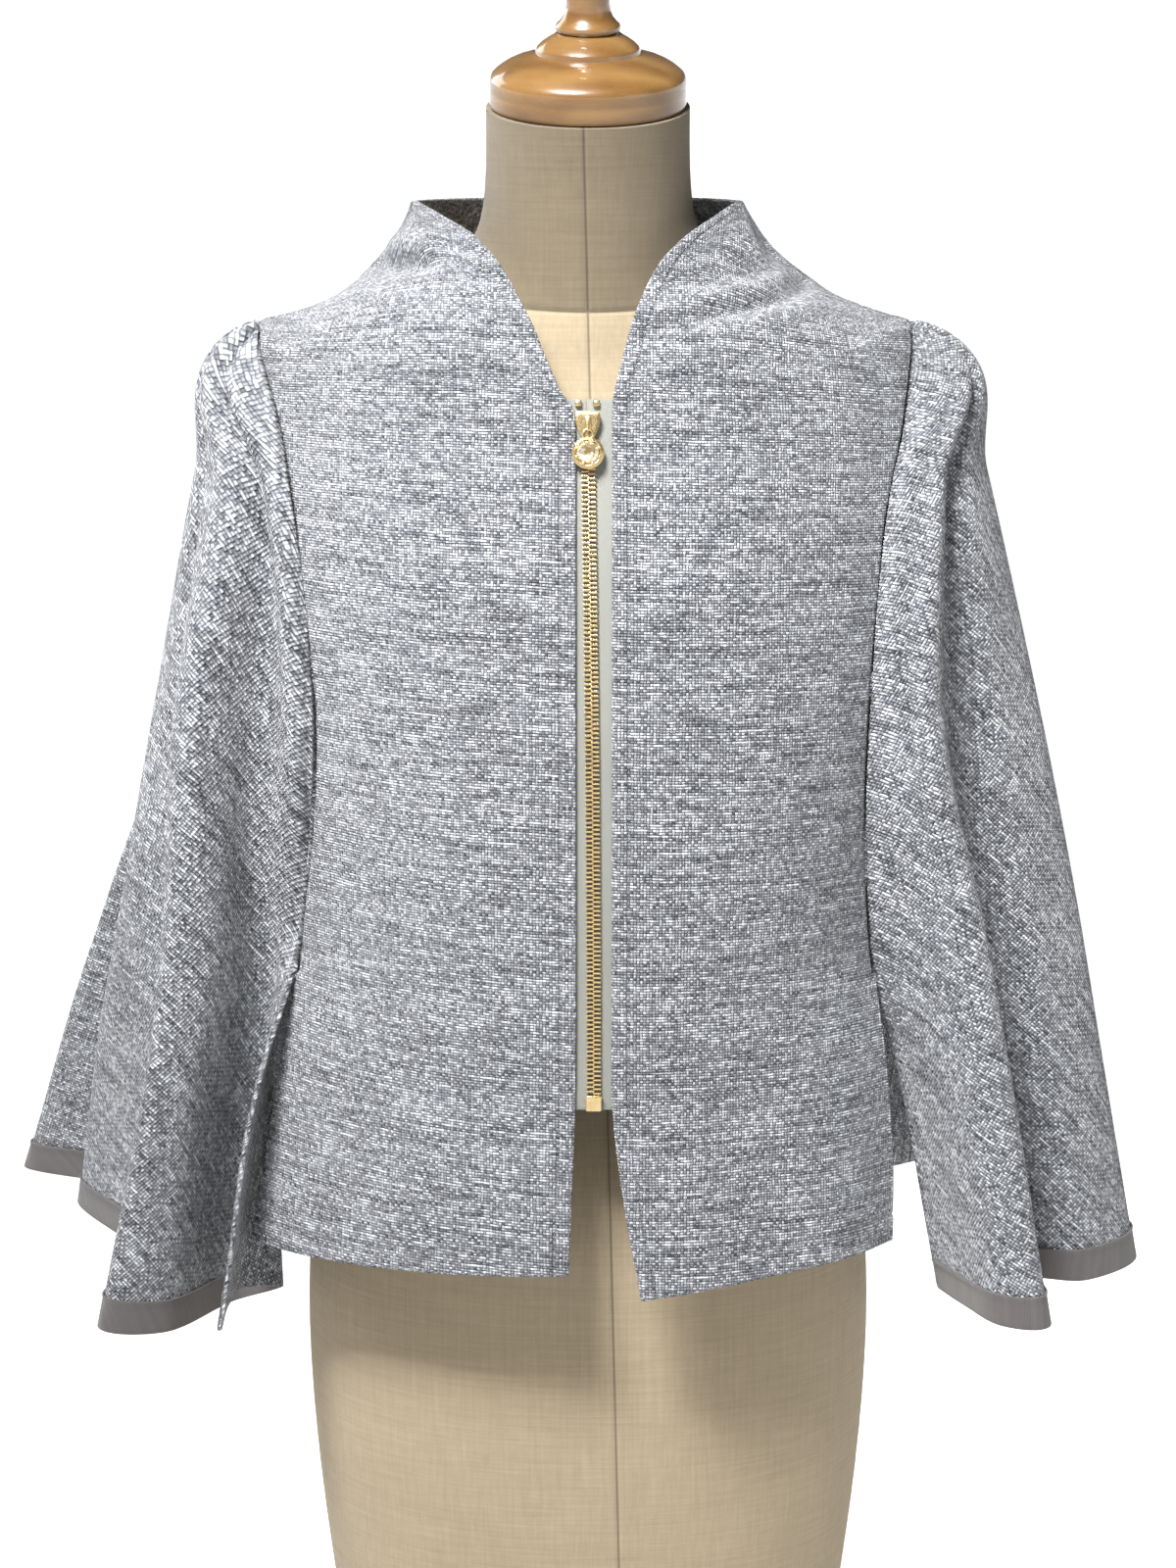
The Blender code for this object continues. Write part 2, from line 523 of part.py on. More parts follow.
def make_garment():
    """The two fronts, the back, the two capes and their bindings."""
    stations = front_rows()
    seam = np.searchsorted(stations, cape_stations())
    shoulder = int(np.searchsorted(stations, SHOULDER_POINT))
    half = CAPE_COLUMNS // 2
    back = back_grid()
    back_out = grid_normals(back)
    back_out *= np.sign(back_out[SLIT, BACK_COLUMNS // 2, 1])
    fronts, capes = {}, {}
    for side in ("right", "left"):
        sign = -1 if side == "right" else 1
        front = front_grid(side)
        front_out = grid_normals(front)
        front_out *= -np.sign(front_out[SLIT, 1, 1])
        cape = cape_grid(side)
        cape_out = grid_normals(cape)
        cape_out *= sign * np.sign(cape_out[len(seam) // 2, half, 0])
        back_end = -1 if side == "left" else 0
        rows = range(len(seam))
        front_join = mitre(np.stack([front_out[seam, -1], cape_out[rows, 0]]))
        back_join = mitre(np.stack([back_out[seam, back_end], cape_out[rows, -1]]))
        top_join = mitre(np.stack([front_out[shoulder, -1], back_out[shoulder, back_end], cape_out[0, half]]))
        ridge = mitre(np.stack([front_out[shoulder + 1 :, -1], back_out[shoulder + 1 :, back_end]]))
        front_out[seam, -1], cape_out[rows, 0] = front_join, front_join
        back_out[seam, back_end], cape_out[rows, -1] = back_join, back_join
        front_out[shoulder, -1] = back_out[shoulder, back_end] = top_join
        front_out[shoulder + 1 :, -1] = back_out[shoulder + 1 :, back_end] = ridge
        for c in range(CAPE_COLUMNS + 1):
            near, far = (front_join[0], top_join) if c <= half else (back_join[0], top_join)
            share = c / half if c <= half else (CAPE_COLUMNS - c) / half
            cape_out[0, c] = near + (far - near) * share
        fronts[side], capes[side] = (front, front_out), (cape, cape_out)
    for side in ("right", "left"):
        front, front_out = fronts[side]
        cape, cape_out = capes[side]
        wall(f"front_{side}", shorten(front, SEAM_GAP / 2, ["last_column"]), front_out, CLOTH, "tweed")
        hung = shorten(shorten(cape, SEAM_GAP / 2, ["first_column", "last_column"]), SEAM_GAP, ["first_row"])
        wall(f"cape_{side}", hung, cape_out, CLOTH, "tweed")
        lift = (CLOTH + BINDING_CLOTH) / 2 + CUT_GAP
        wall(f"binding_{side}", (hung + cape_out * lift)[-2:], cape_out[-2:], BINDING_CLOTH, "ribbon")
    wall("back", shorten(back, SEAM_GAP / 2, ["first_column", "last_column"]), back_out, CLOTH, "tweed")


def make_form():
    """The limbless dress form, covered in linen: one closed body of rings."""
    mesh = bmesh.new()
    rings = []
    for ring in FORM_RINGS:
        points = []
        for k in range(FORM_SIDES):
            turn = 2 * math.pi * k / FORM_SIDES
            deep = ring.fore if math.cos(turn) > 0 else ring.aft
            dip = ring.dip if math.cos(turn) > 0 else ring.lift
            x = ring.wide * math.copysign(abs(math.sin(turn)) ** 0.92, math.sin(turn))
            y = ring.centre - deep * math.cos(turn)
            z = ring.height - dip * abs(math.cos(turn)) ** ring.power
            points.append(mesh.verts.new((x, y, z)))
        rings.append(points)
    for low, high in zip(rings, rings[1:]):
        for k in range(FORM_SIDES):
            n = (k + 1) % FORM_SIDES
            mesh.faces.new((low[k], low[n], high[n], high[k]))
    mesh.faces.new(rings[0][::-1])
    mesh.faces.new(rings[-1])
    bmesh.ops.recalc_face_normals(mesh, faces=mesh.faces)
    finished("form_body", mesh, "linen")


def spun(profile, sides, place=None):
    """A closed shape turned about Z from a profile of (radius, height) pairs, as a bmesh."""
    mesh = bmesh.new()
    points = [(0, profile[0][1]), *profile, (0, profile[-1][1])]
    verts = [mesh.verts.new((radius, 0, height)) for radius, height in points]
    edges = [mesh.edges.new(pair) for pair in zip(verts, verts[1:])]
    bmesh.ops.spin(mesh, geom=verts + edges, axis=(0, 0, 1), cent=(0, 0, 0), angle=2 * math.pi, steps=sides)
    bmesh.ops.remove_doubles(mesh, verts=mesh.verts, dist=1e-6)
    bmesh.ops.recalc_face_normals(mesh, faces=mesh.faces)
    if place is not None:
        bmesh.ops.transform(mesh, matrix=place, verts=mesh.verts)
    return mesh


def turned(name, profile, finish, place):
    """A closed solid turned from a profile of (radius, height) pairs."""
    return finished(name, spun(profile, TURNED_SIDES), finish, place)


def make_stand():
    """The wooden neck cap and finial above the form, and the plate, pole and flange below it."""
    neck = FORM_RINGS[-1]
    seat = Matrix.Translation((0, neck.centre, neck.height)) @ Matrix.Rotation(NECK_TILT, 4, "X")
    cap_top = CAP_PROFILE[-1][1]
    turned("neck_cap", CAP_PROFILE, "varnished_wood", seat @ Matrix.Translation((0, 0, CUT_GAP)))
    turned("finial", FINIAL_PROFILE, "varnished_wood", seat @ Matrix.Translation((0, 0, cap_top + 2 * CUT_GAP)))
    plate = ((BASE_RADIUS, 0), (BASE_RADIUS, BASE_THICK - BASE_EDGE), (BASE_RADIUS - BASE_EDGE, BASE_THICK))
    boss = ((BOSS_RADIUS, BASE_THICK), (BOSS_TOP_RADIUS, BOSS_HEIGHT))
    turned("stand_plate", plate + boss, "black_paint", Matrix())
    foot = FORM_RINGS[0].height
    flange_foot = foot - CUT_GAP - FLANGE_THICK
    pole_top = (POLE_RADIUS, flange_foot - COLLAR_TALL), (COLLAR_RADIUS, flange_foot)
    shaft = ((POLE_RADIUS, BOSS_HEIGHT + CUT_GAP), *pole_top)
    flange = ((FLANGE_RADIUS, flange_foot), (FLANGE_RADIUS, flange_foot + FLANGE_THICK))
    turned("stand_pole", shaft + flange, "steel", Matrix())


def cloth_depth(places, heights):
    """How far fore or aft the fronts' middle surface lies at each place across the zip and at each height."""
    depths = np.empty((len(heights), len(places)))
    for number, place in enumerate(places):
        front = front_grid("left" if place > ZIP_CENTRE else "right")
        row_depths, row_heights = np.empty((2, len(front)))
        for r, row in enumerate(front):
            out = np.abs(row[:, 0] - ZIP_CENTRE)
            row_depths[r], row_heights[r] = (np.interp(abs(place - ZIP_CENTRE), out, row[:, k]) for k in (1, 2))
        depths[:, number] = np.interp(heights, row_heights, row_depths)
    return depths


def zip_place(height, out=0.0):
    """How far the zip's middle, or a place beside it, lies across the front at each height."""
    share = (np.asarray(height) - ZIP_FOOT) / (ZIP_TOP - ZIP_FOOT)
    return ZIP_CENTRE + ZIP_TOP_SHIFT * share**2 + out


def zip_depth(height):
    """How far fore or aft the cloth's middle surface lies at the zip's middle."""
    return float(cloth_depth([ZIP_CENTRE], [height])[0, 0])


def strip(name, low, high, left, right, depth, thick, finish, columns=1):
    """A strip along the zip, whose back face lies at a distance behind the middle of the fronts' cloth."""
    rows = front_grid("right")[:, 0, 2]
    heights = [low, *rows[(rows > low + STRIP_END) & (rows < high - STRIP_END)], high]
    fine = []
    for here, there in zip(heights, heights[1:]):
        count = max(1, round((there - here) / STRIP_STEP))
        fine.extend(here + (there - here) * k / count for k in range(count))
    heights = np.array([*fine, high])
    outs = np.linspace(left, right, columns + 1)
    grid = np.empty((len(heights), len(outs), 3))
    grid[..., 0] = zip_place(heights[:, None], outs[None, :])
    grid[..., 1] = cloth_depth(ZIP_CENTRE + outs, heights) + depth - thick / 2
    grid[..., 2] = heights[:, None]
    normals = grid_normals(grid)
    normals *= -np.sign(normals[0, 0, 1])
    return wall(name, grid, normals, thick, finish)


def ring_of_wire(radius, wire, centre, plane, steps=16, sides=8):
    """A closed ring of round wire in the plane XZ or YZ, as a bmesh."""
    mesh = bmesh.new()
    loops = []
    for k in range(steps):
        around = 2 * math.pi * k / steps
        loop = []
        for m in range(sides):
            roll = 2 * math.pi * m / sides
            reach = radius + wire * math.cos(roll)
            flat, side = (reach * math.cos(around), reach * math.sin(around)), wire * math.sin(roll)
            point = (flat[0], side, flat[1]) if plane == "XZ" else (side, flat[0], flat[1])
            loop.append(mesh.verts.new(Vector(centre) + Vector(point)))
        loops.append(loop)
    for one, two in zip(loops, loops[1:] + loops[:1]):
        for m in range(sides):
            n = (m + 1) % sides
            mesh.faces.new((one[m], one[n], two[n], two[m]))
    bmesh.ops.recalc_face_normals(mesh, faces=mesh.faces)
    return mesh


def joined(name, parts, finish, place):
    """Overlapping closed shapes made into one solid by Boolean unions."""
    first = finished(name, parts[0], finish, place)
    for number, part in enumerate(parts[1:]):
        other = finished(f"{name}_tool_{number}", part, finish, place)
        other.hide_render = True
        other.display_type = "WIRE"
        union = first.modifiers.new("join", "BOOLEAN")
        union.operation = "UNION"
        union.object = other
    return first


def prism(outline, low, high):
    """A closed prism in bmesh: an outline of (x, z) pairs between two depths along Y."""
    mesh = bmesh.new()
    near = [mesh.verts.new((x, low, z)) for x, z in outline]
    far = [mesh.verts.new((x, high, z)) for x, z in outline]
    mesh.faces.new(near)
    mesh.faces.new(far[::-1])
    for k in range(len(outline)):
        n = (k + 1) % len(outline)
        mesh.faces.new((near[n], near[k], far[k], far[n]))
    bmesh.ops.recalc_face_normals(mesh, faces=mesh.faces)
    return mesh


def slider_place():
    """Where the slider sits: the middle of its foot on the cloth's middle surface, leaning with the zip."""
    low, high = (zip_depth(SLIDER_FOOT + rise) for rise in (0, SLIDER_TALL))
    lean = math.atan2(high - low, SLIDER_TALL)
    return Matrix.Translation((float(zip_place(SLIDER_FOOT)), low, SLIDER_FOOT)) @ Matrix.Rotation(-lean, 4, "X")


def make_zip():
    """The zip's tapes, chain, box and slider, and the ring and jewelled charm that hang from the slider."""
    tape_front = CLOTH / 2 + TAPE_CLEAR
    tape_back = tape_front + TAPE_THICK
    strip("zip_tape_right", ZIP_FOOT, ZIP_TOP, -TAPE_SLOT - TAPE_WIDE, -TAPE_SLOT, tape_back, TAPE_THICK, "zip_tape", 3)
    strip("zip_tape_left", ZIP_FOOT, ZIP_TOP, TAPE_SLOT, TAPE_SLOT + TAPE_WIDE, tape_back, TAPE_THICK, "zip_tape", 3)
    half = CHAIN_WIDE / 2
    chain_foot = ZIP_FOOT + BOX_TALL + CUT_GAP
    chain_top = SLIDER_FOOT - SLIDER_CLEAR
    strip("zip_chain", chain_foot, chain_top, -half, half, ZIP_BACK, CHAIN_THICK, "gold")
    strip("zip_box", ZIP_FOOT, ZIP_FOOT + BOX_TALL, -BOX_WIDE / 2, BOX_WIDE / 2, ZIP_BACK, BOX_THICK, "gold")
    for side, sign in (("right", -1), ("left", 1)):
        near, far = sorted((sign * STOP_NEAR, sign * (STOP_NEAR + STOP_WIDE)))
        strip(f"zip_stop_{side}", ZIP_TOP - STOP_TALL, ZIP_TOP, near, far, ZIP_BACK, STOP_THICK, "gold")

    place = slider_place()
    outline = [*SLIDER_OUTLINE, (0, SLIDER_TALL - SLIDER_NOTCH), *((-x, z) for x, z in SLIDER_OUTLINE[::-1])]
    hinge = Vector(HINGE)
    bail = ring_of_wire(BAIL_RADIUS, BAIL_WIRE, hinge, "YZ")
    joined("zip_slider", [prism(outline, SLIDER_FACE, ZIP_BACK - CUT_GAP / 2), bail], "gold", place)

    ring = ring_of_wire(RING_RADIUS, RING_WIRE, hinge - Vector((0, 0, RING_RADIUS)), "XZ", steps=20)
    neck = RING_RADIUS * 2 + CHARM_PROFILE[1][0]
    heart = Matrix.Translation(hinge - Vector((0, -CHARM_PROFILE[1][1], neck))) @ Matrix.Rotation(math.pi / 2, 4, "X")
    joined("zip_pull", [spun(CHARM_PROFILE, CHARM_SIDES, heart), ring], "gold", place)


def main():
    clear_scene()
    make_garment()
    make_form()
    make_stand()
    make_zip()


main()
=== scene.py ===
"""Dresses a cape-sleeved tweed bolero and the limbless dress form that wears it.

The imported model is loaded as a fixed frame. Each operator then makes one piece or a group of like pieces over it.
Sizes are in metres. The wearer faces -Y, so +X is the wearer's left.
"""

import math
from collections import namedtuple
from functools import partial

import bmesh
import bpy
import numpy as np
from mathutils import Matrix, Vector


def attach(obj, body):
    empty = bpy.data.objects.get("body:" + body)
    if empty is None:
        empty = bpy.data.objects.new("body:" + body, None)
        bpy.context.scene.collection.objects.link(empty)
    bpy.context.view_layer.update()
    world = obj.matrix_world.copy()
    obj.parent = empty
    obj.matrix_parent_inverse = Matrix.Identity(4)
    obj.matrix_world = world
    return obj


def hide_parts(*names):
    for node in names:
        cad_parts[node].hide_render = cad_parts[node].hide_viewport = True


bl_info = {
    "name": "Cape-sleeved bolero",
    "version": (1, 0, 0),
    "blender": (4, 5, 0),
    "location": "View3D > Sidebar > Bolero",
    "description": "Makes a tweed bolero with cape sleeves on a dress form",
    "category": "Object",
}

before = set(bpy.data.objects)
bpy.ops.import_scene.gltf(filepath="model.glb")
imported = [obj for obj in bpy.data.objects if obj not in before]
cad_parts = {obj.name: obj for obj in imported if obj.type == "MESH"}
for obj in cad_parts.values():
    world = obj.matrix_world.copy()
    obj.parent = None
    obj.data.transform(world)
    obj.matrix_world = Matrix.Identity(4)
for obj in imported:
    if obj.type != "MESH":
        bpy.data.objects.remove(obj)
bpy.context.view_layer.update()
bpy.ops.object.select_all(action="DESELECT")

WORN = "garment_on_form"
SWINGING = "charm"
FORE = (0, -1, 0)
AFT = (0, 1, 0)

# Stations from the hem up to the collar: the seam lines, the front edges and the back's middle. Start and end are
# the angles, in degrees, between which each row bends.
Side = namedtuple("Side", "right left fore aft height")
SIDE_STATIONS = (
    Side(0.1855, 0.1665, -0.081, 0.092, 0.4640),
    Side(0.1785, 0.1672, -0.074, 0.084, 0.5050),
    Side(0.1690, 0.1635, -0.069, 0.078, 0.5600),
    Side(0.1590, 0.1560, -0.065, 0.074, 0.6150),
    Side(0.1550, 0.1525, -0.069, 0.077, 0.6500),
    Side(0.1490, 0.1500, -0.074, 0.080, 0.7000),
    Side(0.1465, 0.1510, -0.076, 0.080, 0.7600),
    Side(0.1525, 0.1555, -0.070, 0.074, 0.8200),
    Side(0.1570, 0.1600, -0.060, 0.064, 0.8640),
    Side(0.1650, 0.1690, -0.042, 0.048, 0.9075),
    Side(0.1766, 0.1750, -0.020, 0.022, 0.9460),
    Side(0.1785, 0.1757, -0.010, 0.011, 0.9590),
    Side(0.1785, 0.1755, 0.000, 0.000, 0.9635),
    Side(0.1650, 0.1640, 0.002, 0.002, 0.9665),
    Side(0.1500, 0.1500, 0.003, 0.003, 0.9710),
    Side(0.1360, 0.1340, 0.003, 0.003, 0.9775),
    Side(0.1240, 0.1200, 0.002, 0.002, 0.9870),
    Side(0.1140, 0.1060, 0.001, 0.001, 0.9975),
    Side(0.1050, 0.0960, -0.002, -0.002, 1.0080),
    Side(0.0990, 0.0890, -0.005, -0.005, 1.0180),
    Side(0.0950, 0.0830, -0.008, -0.008, 1.0285),
)
Edge = namedtuple("Edge", "right left fore height start end")
FRONT_EDGE = (
    Edge(-0.0102, 0.0283, -0.158, 0.4710, 0, 48),
    Edge(-0.0085, 0.0190, -0.153, 0.5150, 0, 48),
    Edge(-0.0067, 0.0128, -0.149, 0.5625, 0, 48),
    Edge(-0.0062, 0.0125, -0.146, 0.6150, 0, 48),
    Edge(-0.0062, 0.0125, -0.145, 0.6500, 0, 50),
    Edge(-0.0062, 0.0125, -0.143, 0.7000, 0, 50),
    Edge(-0.0062, 0.0125, -0.139, 0.7600, 0, 52),
    Edge(-0.0062, 0.0125, -0.131, 0.8150, 0, 54),
    Edge(-0.0062, 0.0125, -0.123, 0.8550, 0, 56),
    Edge(-0.0062, 0.0125, -0.112, 0.8930, 0, 60),
    Edge(-0.0064, 0.0125, -0.105, 0.9180, 0, 66),
    Edge(-0.0085, 0.0128, -0.102, 0.9280, 0, 70),
    Edge(-0.0140, 0.0135, -0.100, 0.9350, 0, 74),
    Edge(-0.0222, 0.0182, -0.095, 0.9530, 0, 78),
    Edge(-0.0282, 0.0220, -0.090, 0.9675, 4, 80),
    Edge(-0.0347, 0.0268, -0.085, 0.9800, 8, 82),
    Edge(-0.0415, 0.0325, -0.079, 0.9920, 14, 84),
    Edge(-0.0490, 0.0400, -0.073, 1.0030, 20, 86),
    Edge(-0.0600, 0.0520, -0.061, 1.0135, 28, 87),
    Edge(-0.0755, 0.0660, -0.042, 1.0215, 40, 88),
    Edge(-0.0920, 0.0805, -0.014, 1.0290, 70, 88),
)
Centre = namedtuple("Centre", "aft height start end")
BACK_CENTRE = (
    Centre(0.150, 0.4600, 0, 50),
    Centre(0.142, 0.5000, 0, 50),
    Centre(0.133, 0.5600, 0, 50),
    Centre(0.127, 0.6150, 0, 50),
    Centre(0.124, 0.6500, 0, 52),
    Centre(0.122, 0.7000, 0, 54),
    Centre(0.123, 0.7600, 0, 56),
    Centre(0.126, 0.8200, 0, 58),
    Centre(0.127, 0.8640, 0, 60),
    Centre(0.124, 0.9075, 0, 64),
    Centre(0.119, 0.9380, 0, 68),
    Centre(0.117, 0.9500, 0, 72),
    Centre(0.115, 0.9590, 0, 76),
    Centre(0.112, 0.9670, 0, 78),
    Centre(0.109, 0.9740, 0, 80),
    Centre(0.105, 0.9820, 0, 82),
    Centre(0.101, 0.9910, 0, 84),
    Centre(0.097, 1.0010, 0, 86),
    Centre(0.094, 1.0090, 0, 87),
    Centre(0.0915, 1.0175, 0, 88),
    Centre(0.090, 1.0260, 0, 88),
)
# The stations of the slit's top, of the seam just under the shoulder point, of the point and of the collar's edge
SLIT = 3
UNDER_POINT = 11
SHOULDER_POINT = 12
COLLAR_TOP = 20
LEFT_CORNER_DROP = 0.014
SIDES = (("right", -1), ("left", 1))

# Soft creases of each panel: where the middle lies (station, share of the row), how far it runs along the stations
# and across the row, and how deep it dips. A slant moves the middle across the row for each station.
Crease = namedtuple("Crease", "station share tall wide deep slant", defaults=(0,))
CREASES = {
    "right": (
        Crease(16.6, 0.62, 0.9, 0.34, 0.0050),
        Crease(14.3, 0.55, 1.3, 0.35, -0.0030),
        Crease(2.2, 0.55, 1.6, 0.22, 0.0040),
    ),
    "left": (
        Crease(16.3, 0.60, 0.9, 0.34, 0.0050),
        Crease(14.2, 0.45, 1.2, 0.35, -0.0025),
        Crease(1.2, 0.45, 1.8, 0.18, 0.0060),
        Crease(0.8, 0.80, 1.6, 0.18, -0.0040),
    ),
    "back": (
        Crease(16.4, 0.00, 0.9, 0.50, 0.0035),
        Crease(13.6, 0.00, 1.2, 0.45, -0.0025),
        Crease(0.6, 0.46, 1.8, 0.16, 0.0050),
        Crease(0.7, -0.40, 1.8, 0.17, -0.0045),
        Crease(0.9, -0.74, 1.6, 0.14, 0.0035),
        Crease(0.9, 0.80, 1.6, 0.14, -0.0030),
        Crease(0.8, 0.04, 1.6, 0.16, -0.0035),
    ),
}
# The creases that only the looks have
FINE_CREASES = {
    "cape_right": (
        Crease(6.2, 0.195, 3.0, 0.055, 0.0140, 0.004),
        Crease(6.2, 0.320, 3.2, 0.05, -0.0080),
        Crease(6.4, 0.455, 3.2, 0.028, 0.0065),
        Crease(6.0, 0.07, 3.0, 0.035, -0.0030),
        Crease(3.0, 0.24, 1.6, 0.05, -0.0020),
        Crease(5.0, 0.68, 3.0, 0.06, 0.0030),
    ),
    "cape_left": (
        Crease(7.6, 0.10, 2.4, 0.07, -0.0035),
        Crease(6.4, 0.365, 3.2, 0.045, 0.0125, 0.006),
        Crease(6.0, 0.25, 3.2, 0.05, -0.0085, 0.004),
        Crease(4.0, 0.66, 3.0, 0.06, 0.0030),
    ),
    "right": (
        Crease(16.8, 0.66, 0.42, 0.36, 0.0055),
        Crease(17.8, 0.60, 0.50, 0.36, -0.0026),
        Crease(14.9, 0.60, 0.35, 0.35, -0.0014, 0.06),
        Crease(13.4, 0.40, 0.30, 0.40, 0.0012, 0.02),
        Crease(12.6, 0.70, 0.45, 0.20, 0.0012, -0.2),
        Crease(8.8, 0.86, 0.8, 0.10, 0.0016, 0.05),
        Crease(4.2, 0.90, 0.9, 0.09, 0.0015, -0.04),
        Crease(5.0, 0.40, 0.8, 0.12, -0.0012, 0.05),
        Crease(1.0, 0.25, 1.2, 0.08, 0.0015, 0.02),
    ),
    "left": (
        Crease(15.0, 0.50, 1.20, 0.15, 0.0048, 0.36),
        Crease(15.8, 0.50, 1.20, 0.15, -0.0028, 0.36),
        Crease(17.3, 0.84, 1.10, 0.13, 0.0040, -0.08),
        Crease(17.6, 0.58, 0.90, 0.14, -0.0024, -0.08),
        Crease(15.2, 0.50, 0.35, 0.30, -0.0016, -0.10),
        Crease(13.5, 0.55, 0.32, 0.40, 0.0012, 0.02),
        Crease(12.7, 0.66, 0.45, 0.22, 0.0012, 0.2),
        Crease(8.5, 0.88, 0.8, 0.10, 0.0016, -0.05),
        Crease(4.0, 0.88, 0.9, 0.10, 0.0015, 0.04),
        Crease(5.4, 0.50, 0.9, 0.13, -0.0012, -0.05),
        Crease(2.4, 0.20, 1.2, 0.09, 0.0014, 0.02),
    ),
    "back": (
        Crease(9.0, 0.62, 1.4, 0.14, 0.0016, 0.06),
        Crease(8.6, -0.66, 1.5, 0.14, 0.0016, -0.06),
        Crease(4.6, 0.30, 1.3, 0.16, -0.0016, 0.03),
        Crease(4.9, -0.22, 1.2, 0.15, 0.0014, -0.03),
    ),
}
# How fast a panel's and a cape's creases start at their seams
PANEL_FADE = 12
CAPE_FADE = 14

# The capes' fold lines from the front edge round the arm to the back edge, at four heights and at the hem
Fold = namedtuple("Fold", "share chest bust waist skirt hem rise")
CAPE_HEIGHTS = (0.880, 0.760, 0.620, 0.560)
CAPE_HEM = 0.4400
FOLDS = {
    "right": (
        Fold(0.00, (0.160, -0.055), (0.1465, -0.076), (0.159, -0.067), (0.1780, -0.094), (0.1960, -0.128), 0.009),
        Fold(0.06, (0.165, -0.056), (0.154, -0.078), (0.165, -0.060), (0.1780, -0.075), (0.1950, -0.097), 0.012),
        Fold(0.095, (0.168, -0.056), (0.159, -0.078), (0.169, -0.056), (0.1765, -0.060), (0.1905, -0.076), 0.014),
        Fold(0.13, (0.171, -0.056), (0.164, -0.077), (0.173, -0.054), (0.1765, -0.052), (0.1730, -0.062), 0.010),
        Fold(0.20, (0.177, -0.055), (0.178, -0.072), (0.186, -0.058), (0.1920, -0.054), (0.2000, -0.052), -0.003),
        Fold(0.29, (0.189, -0.050), (0.203, -0.074), (0.209, -0.085), (0.2200, -0.091), (0.2320, -0.099), -0.003),
        Fold(0.37, (0.201, -0.042), (0.220, -0.070), (0.2305, -0.086), (0.2400, -0.093), (0.2640, -0.103), 0.001),
        Fold(0.46, (0.211, -0.022), (0.228, -0.030), (0.228, -0.034), (0.2320, -0.032), (0.2420, -0.024), 0.003),
        Fold(0.57, (0.216, 0.003), (0.241, 0.008), (0.268, 0.016), (0.2810, 0.036), (0.3000, 0.068), 0.013),
        Fold(0.66, (0.214, 0.023), (0.236, 0.042), (0.250, 0.062), (0.2570, 0.074), (0.2660, 0.092), 0.014),
        Fold(0.77, (0.207, 0.043), (0.231, 0.072), (0.282, 0.095), (0.3030, 0.108), (0.3380, 0.130), 0.015),
        Fold(0.86, (0.195, 0.060), (0.208, 0.093), (0.228, 0.118), (0.2400, 0.132), (0.2620, 0.155), 0.014),
        Fold(0.93, (0.180, 0.066), (0.182, 0.100), (0.200, 0.132), (0.2120, 0.152), (0.2350, 0.188), 0.010),
        Fold(1.00, (0.160, 0.060), (0.1465, 0.080), (0.159, 0.076), (0.1690, 0.100), (0.1830, 0.148), 0.006),
    ),
    "left": (
        Fold(0.00, (0.163, -0.056), (0.151, -0.076), (0.1565, -0.063), (0.1720, -0.050), (0.1960, -0.040), 0.000),
        Fold(0.09, (0.170, -0.057), (0.161, -0.080), (0.175, -0.074), (0.1860, -0.067), (0.2080, -0.066), 0.000),
        Fold(0.18, (0.178, -0.056), (0.172, -0.082), (0.198, -0.090), (0.2080, -0.093), (0.2260, -0.098), 0.000),
        Fold(0.27, (0.187, -0.051), (0.184, -0.077), (0.2165, -0.088), (0.2290, -0.092), (0.2500, -0.100), 0.001),
        Fold(0.36, (0.197, -0.043), (0.205, -0.050), (0.222, -0.044), (0.2290, -0.038), (0.2420, -0.030), 0.002),
        Fold(0.45, (0.208, -0.028), (0.228, -0.032), (0.251, -0.036), (0.2610, -0.035), (0.2800, -0.034), 0.003),
        Fold(0.55, (0.2195, 0.003), (0.250, 0.003), (0.279, 0.003), (0.2900, 0.005), (0.3120, 0.008), 0.004),
        Fold(0.64, (0.214, 0.030), (0.236, 0.042), (0.250, 0.050), (0.2560, 0.053), (0.2700, 0.058), 0.006),
        Fold(0.74, (0.205, 0.048), (0.232, 0.074), (0.268, 0.093), (0.2800, 0.101), (0.3050, 0.117), 0.010),
        Fold(0.83, (0.195, 0.060), (0.210, 0.092), (0.225, 0.108), (0.2330, 0.115), (0.2500, 0.128), 0.010),
        Fold(0.92, (0.180, 0.065), (0.184, 0.100), (0.205, 0.132), (0.2150, 0.148), (0.2350, 0.180), 0.008),
        Fold(1.00, (0.163, 0.060), (0.151, 0.080), (0.1565, 0.076), (0.1680, 0.098), (0.1820, 0.148), 0.006),
    ),
}
# The crown, where a cape turns over the arm: its height, how far out and how deep it is, and how its rows rise
CROWN_HEIGHT = 0.945
CROWN_OUT = {"right": 0.1985, "left": 0.1995}
CROWN_DEEP = 0.020
CROWN_RISE = ((SLIT, 0), (8, 0), (9, 0.006), (10, 0.010), (11, 0.0045))
# How fast the crown rounds off, how fast a cape leaves its seams and how late its hem's rise starts
CROWN_ROUND = 0.8
SEAM_BLEND = 60
RISE_CURVE = 1.5
BINDING_DEEP = 0.019
TINY = 1e-12

# The zip's line, and the sizes of what runs along it
ZIP_CENTRE = 0.0030
ZIP_TOP_SHIFT = -0.0034
ZIP_TOP = 0.9310
ZIP_FOOT = 0.5600
TAPE_CLEAR = 0.0005
SLIDER_FOOT = 0.9105
SLIDER_TALL = 0.0145


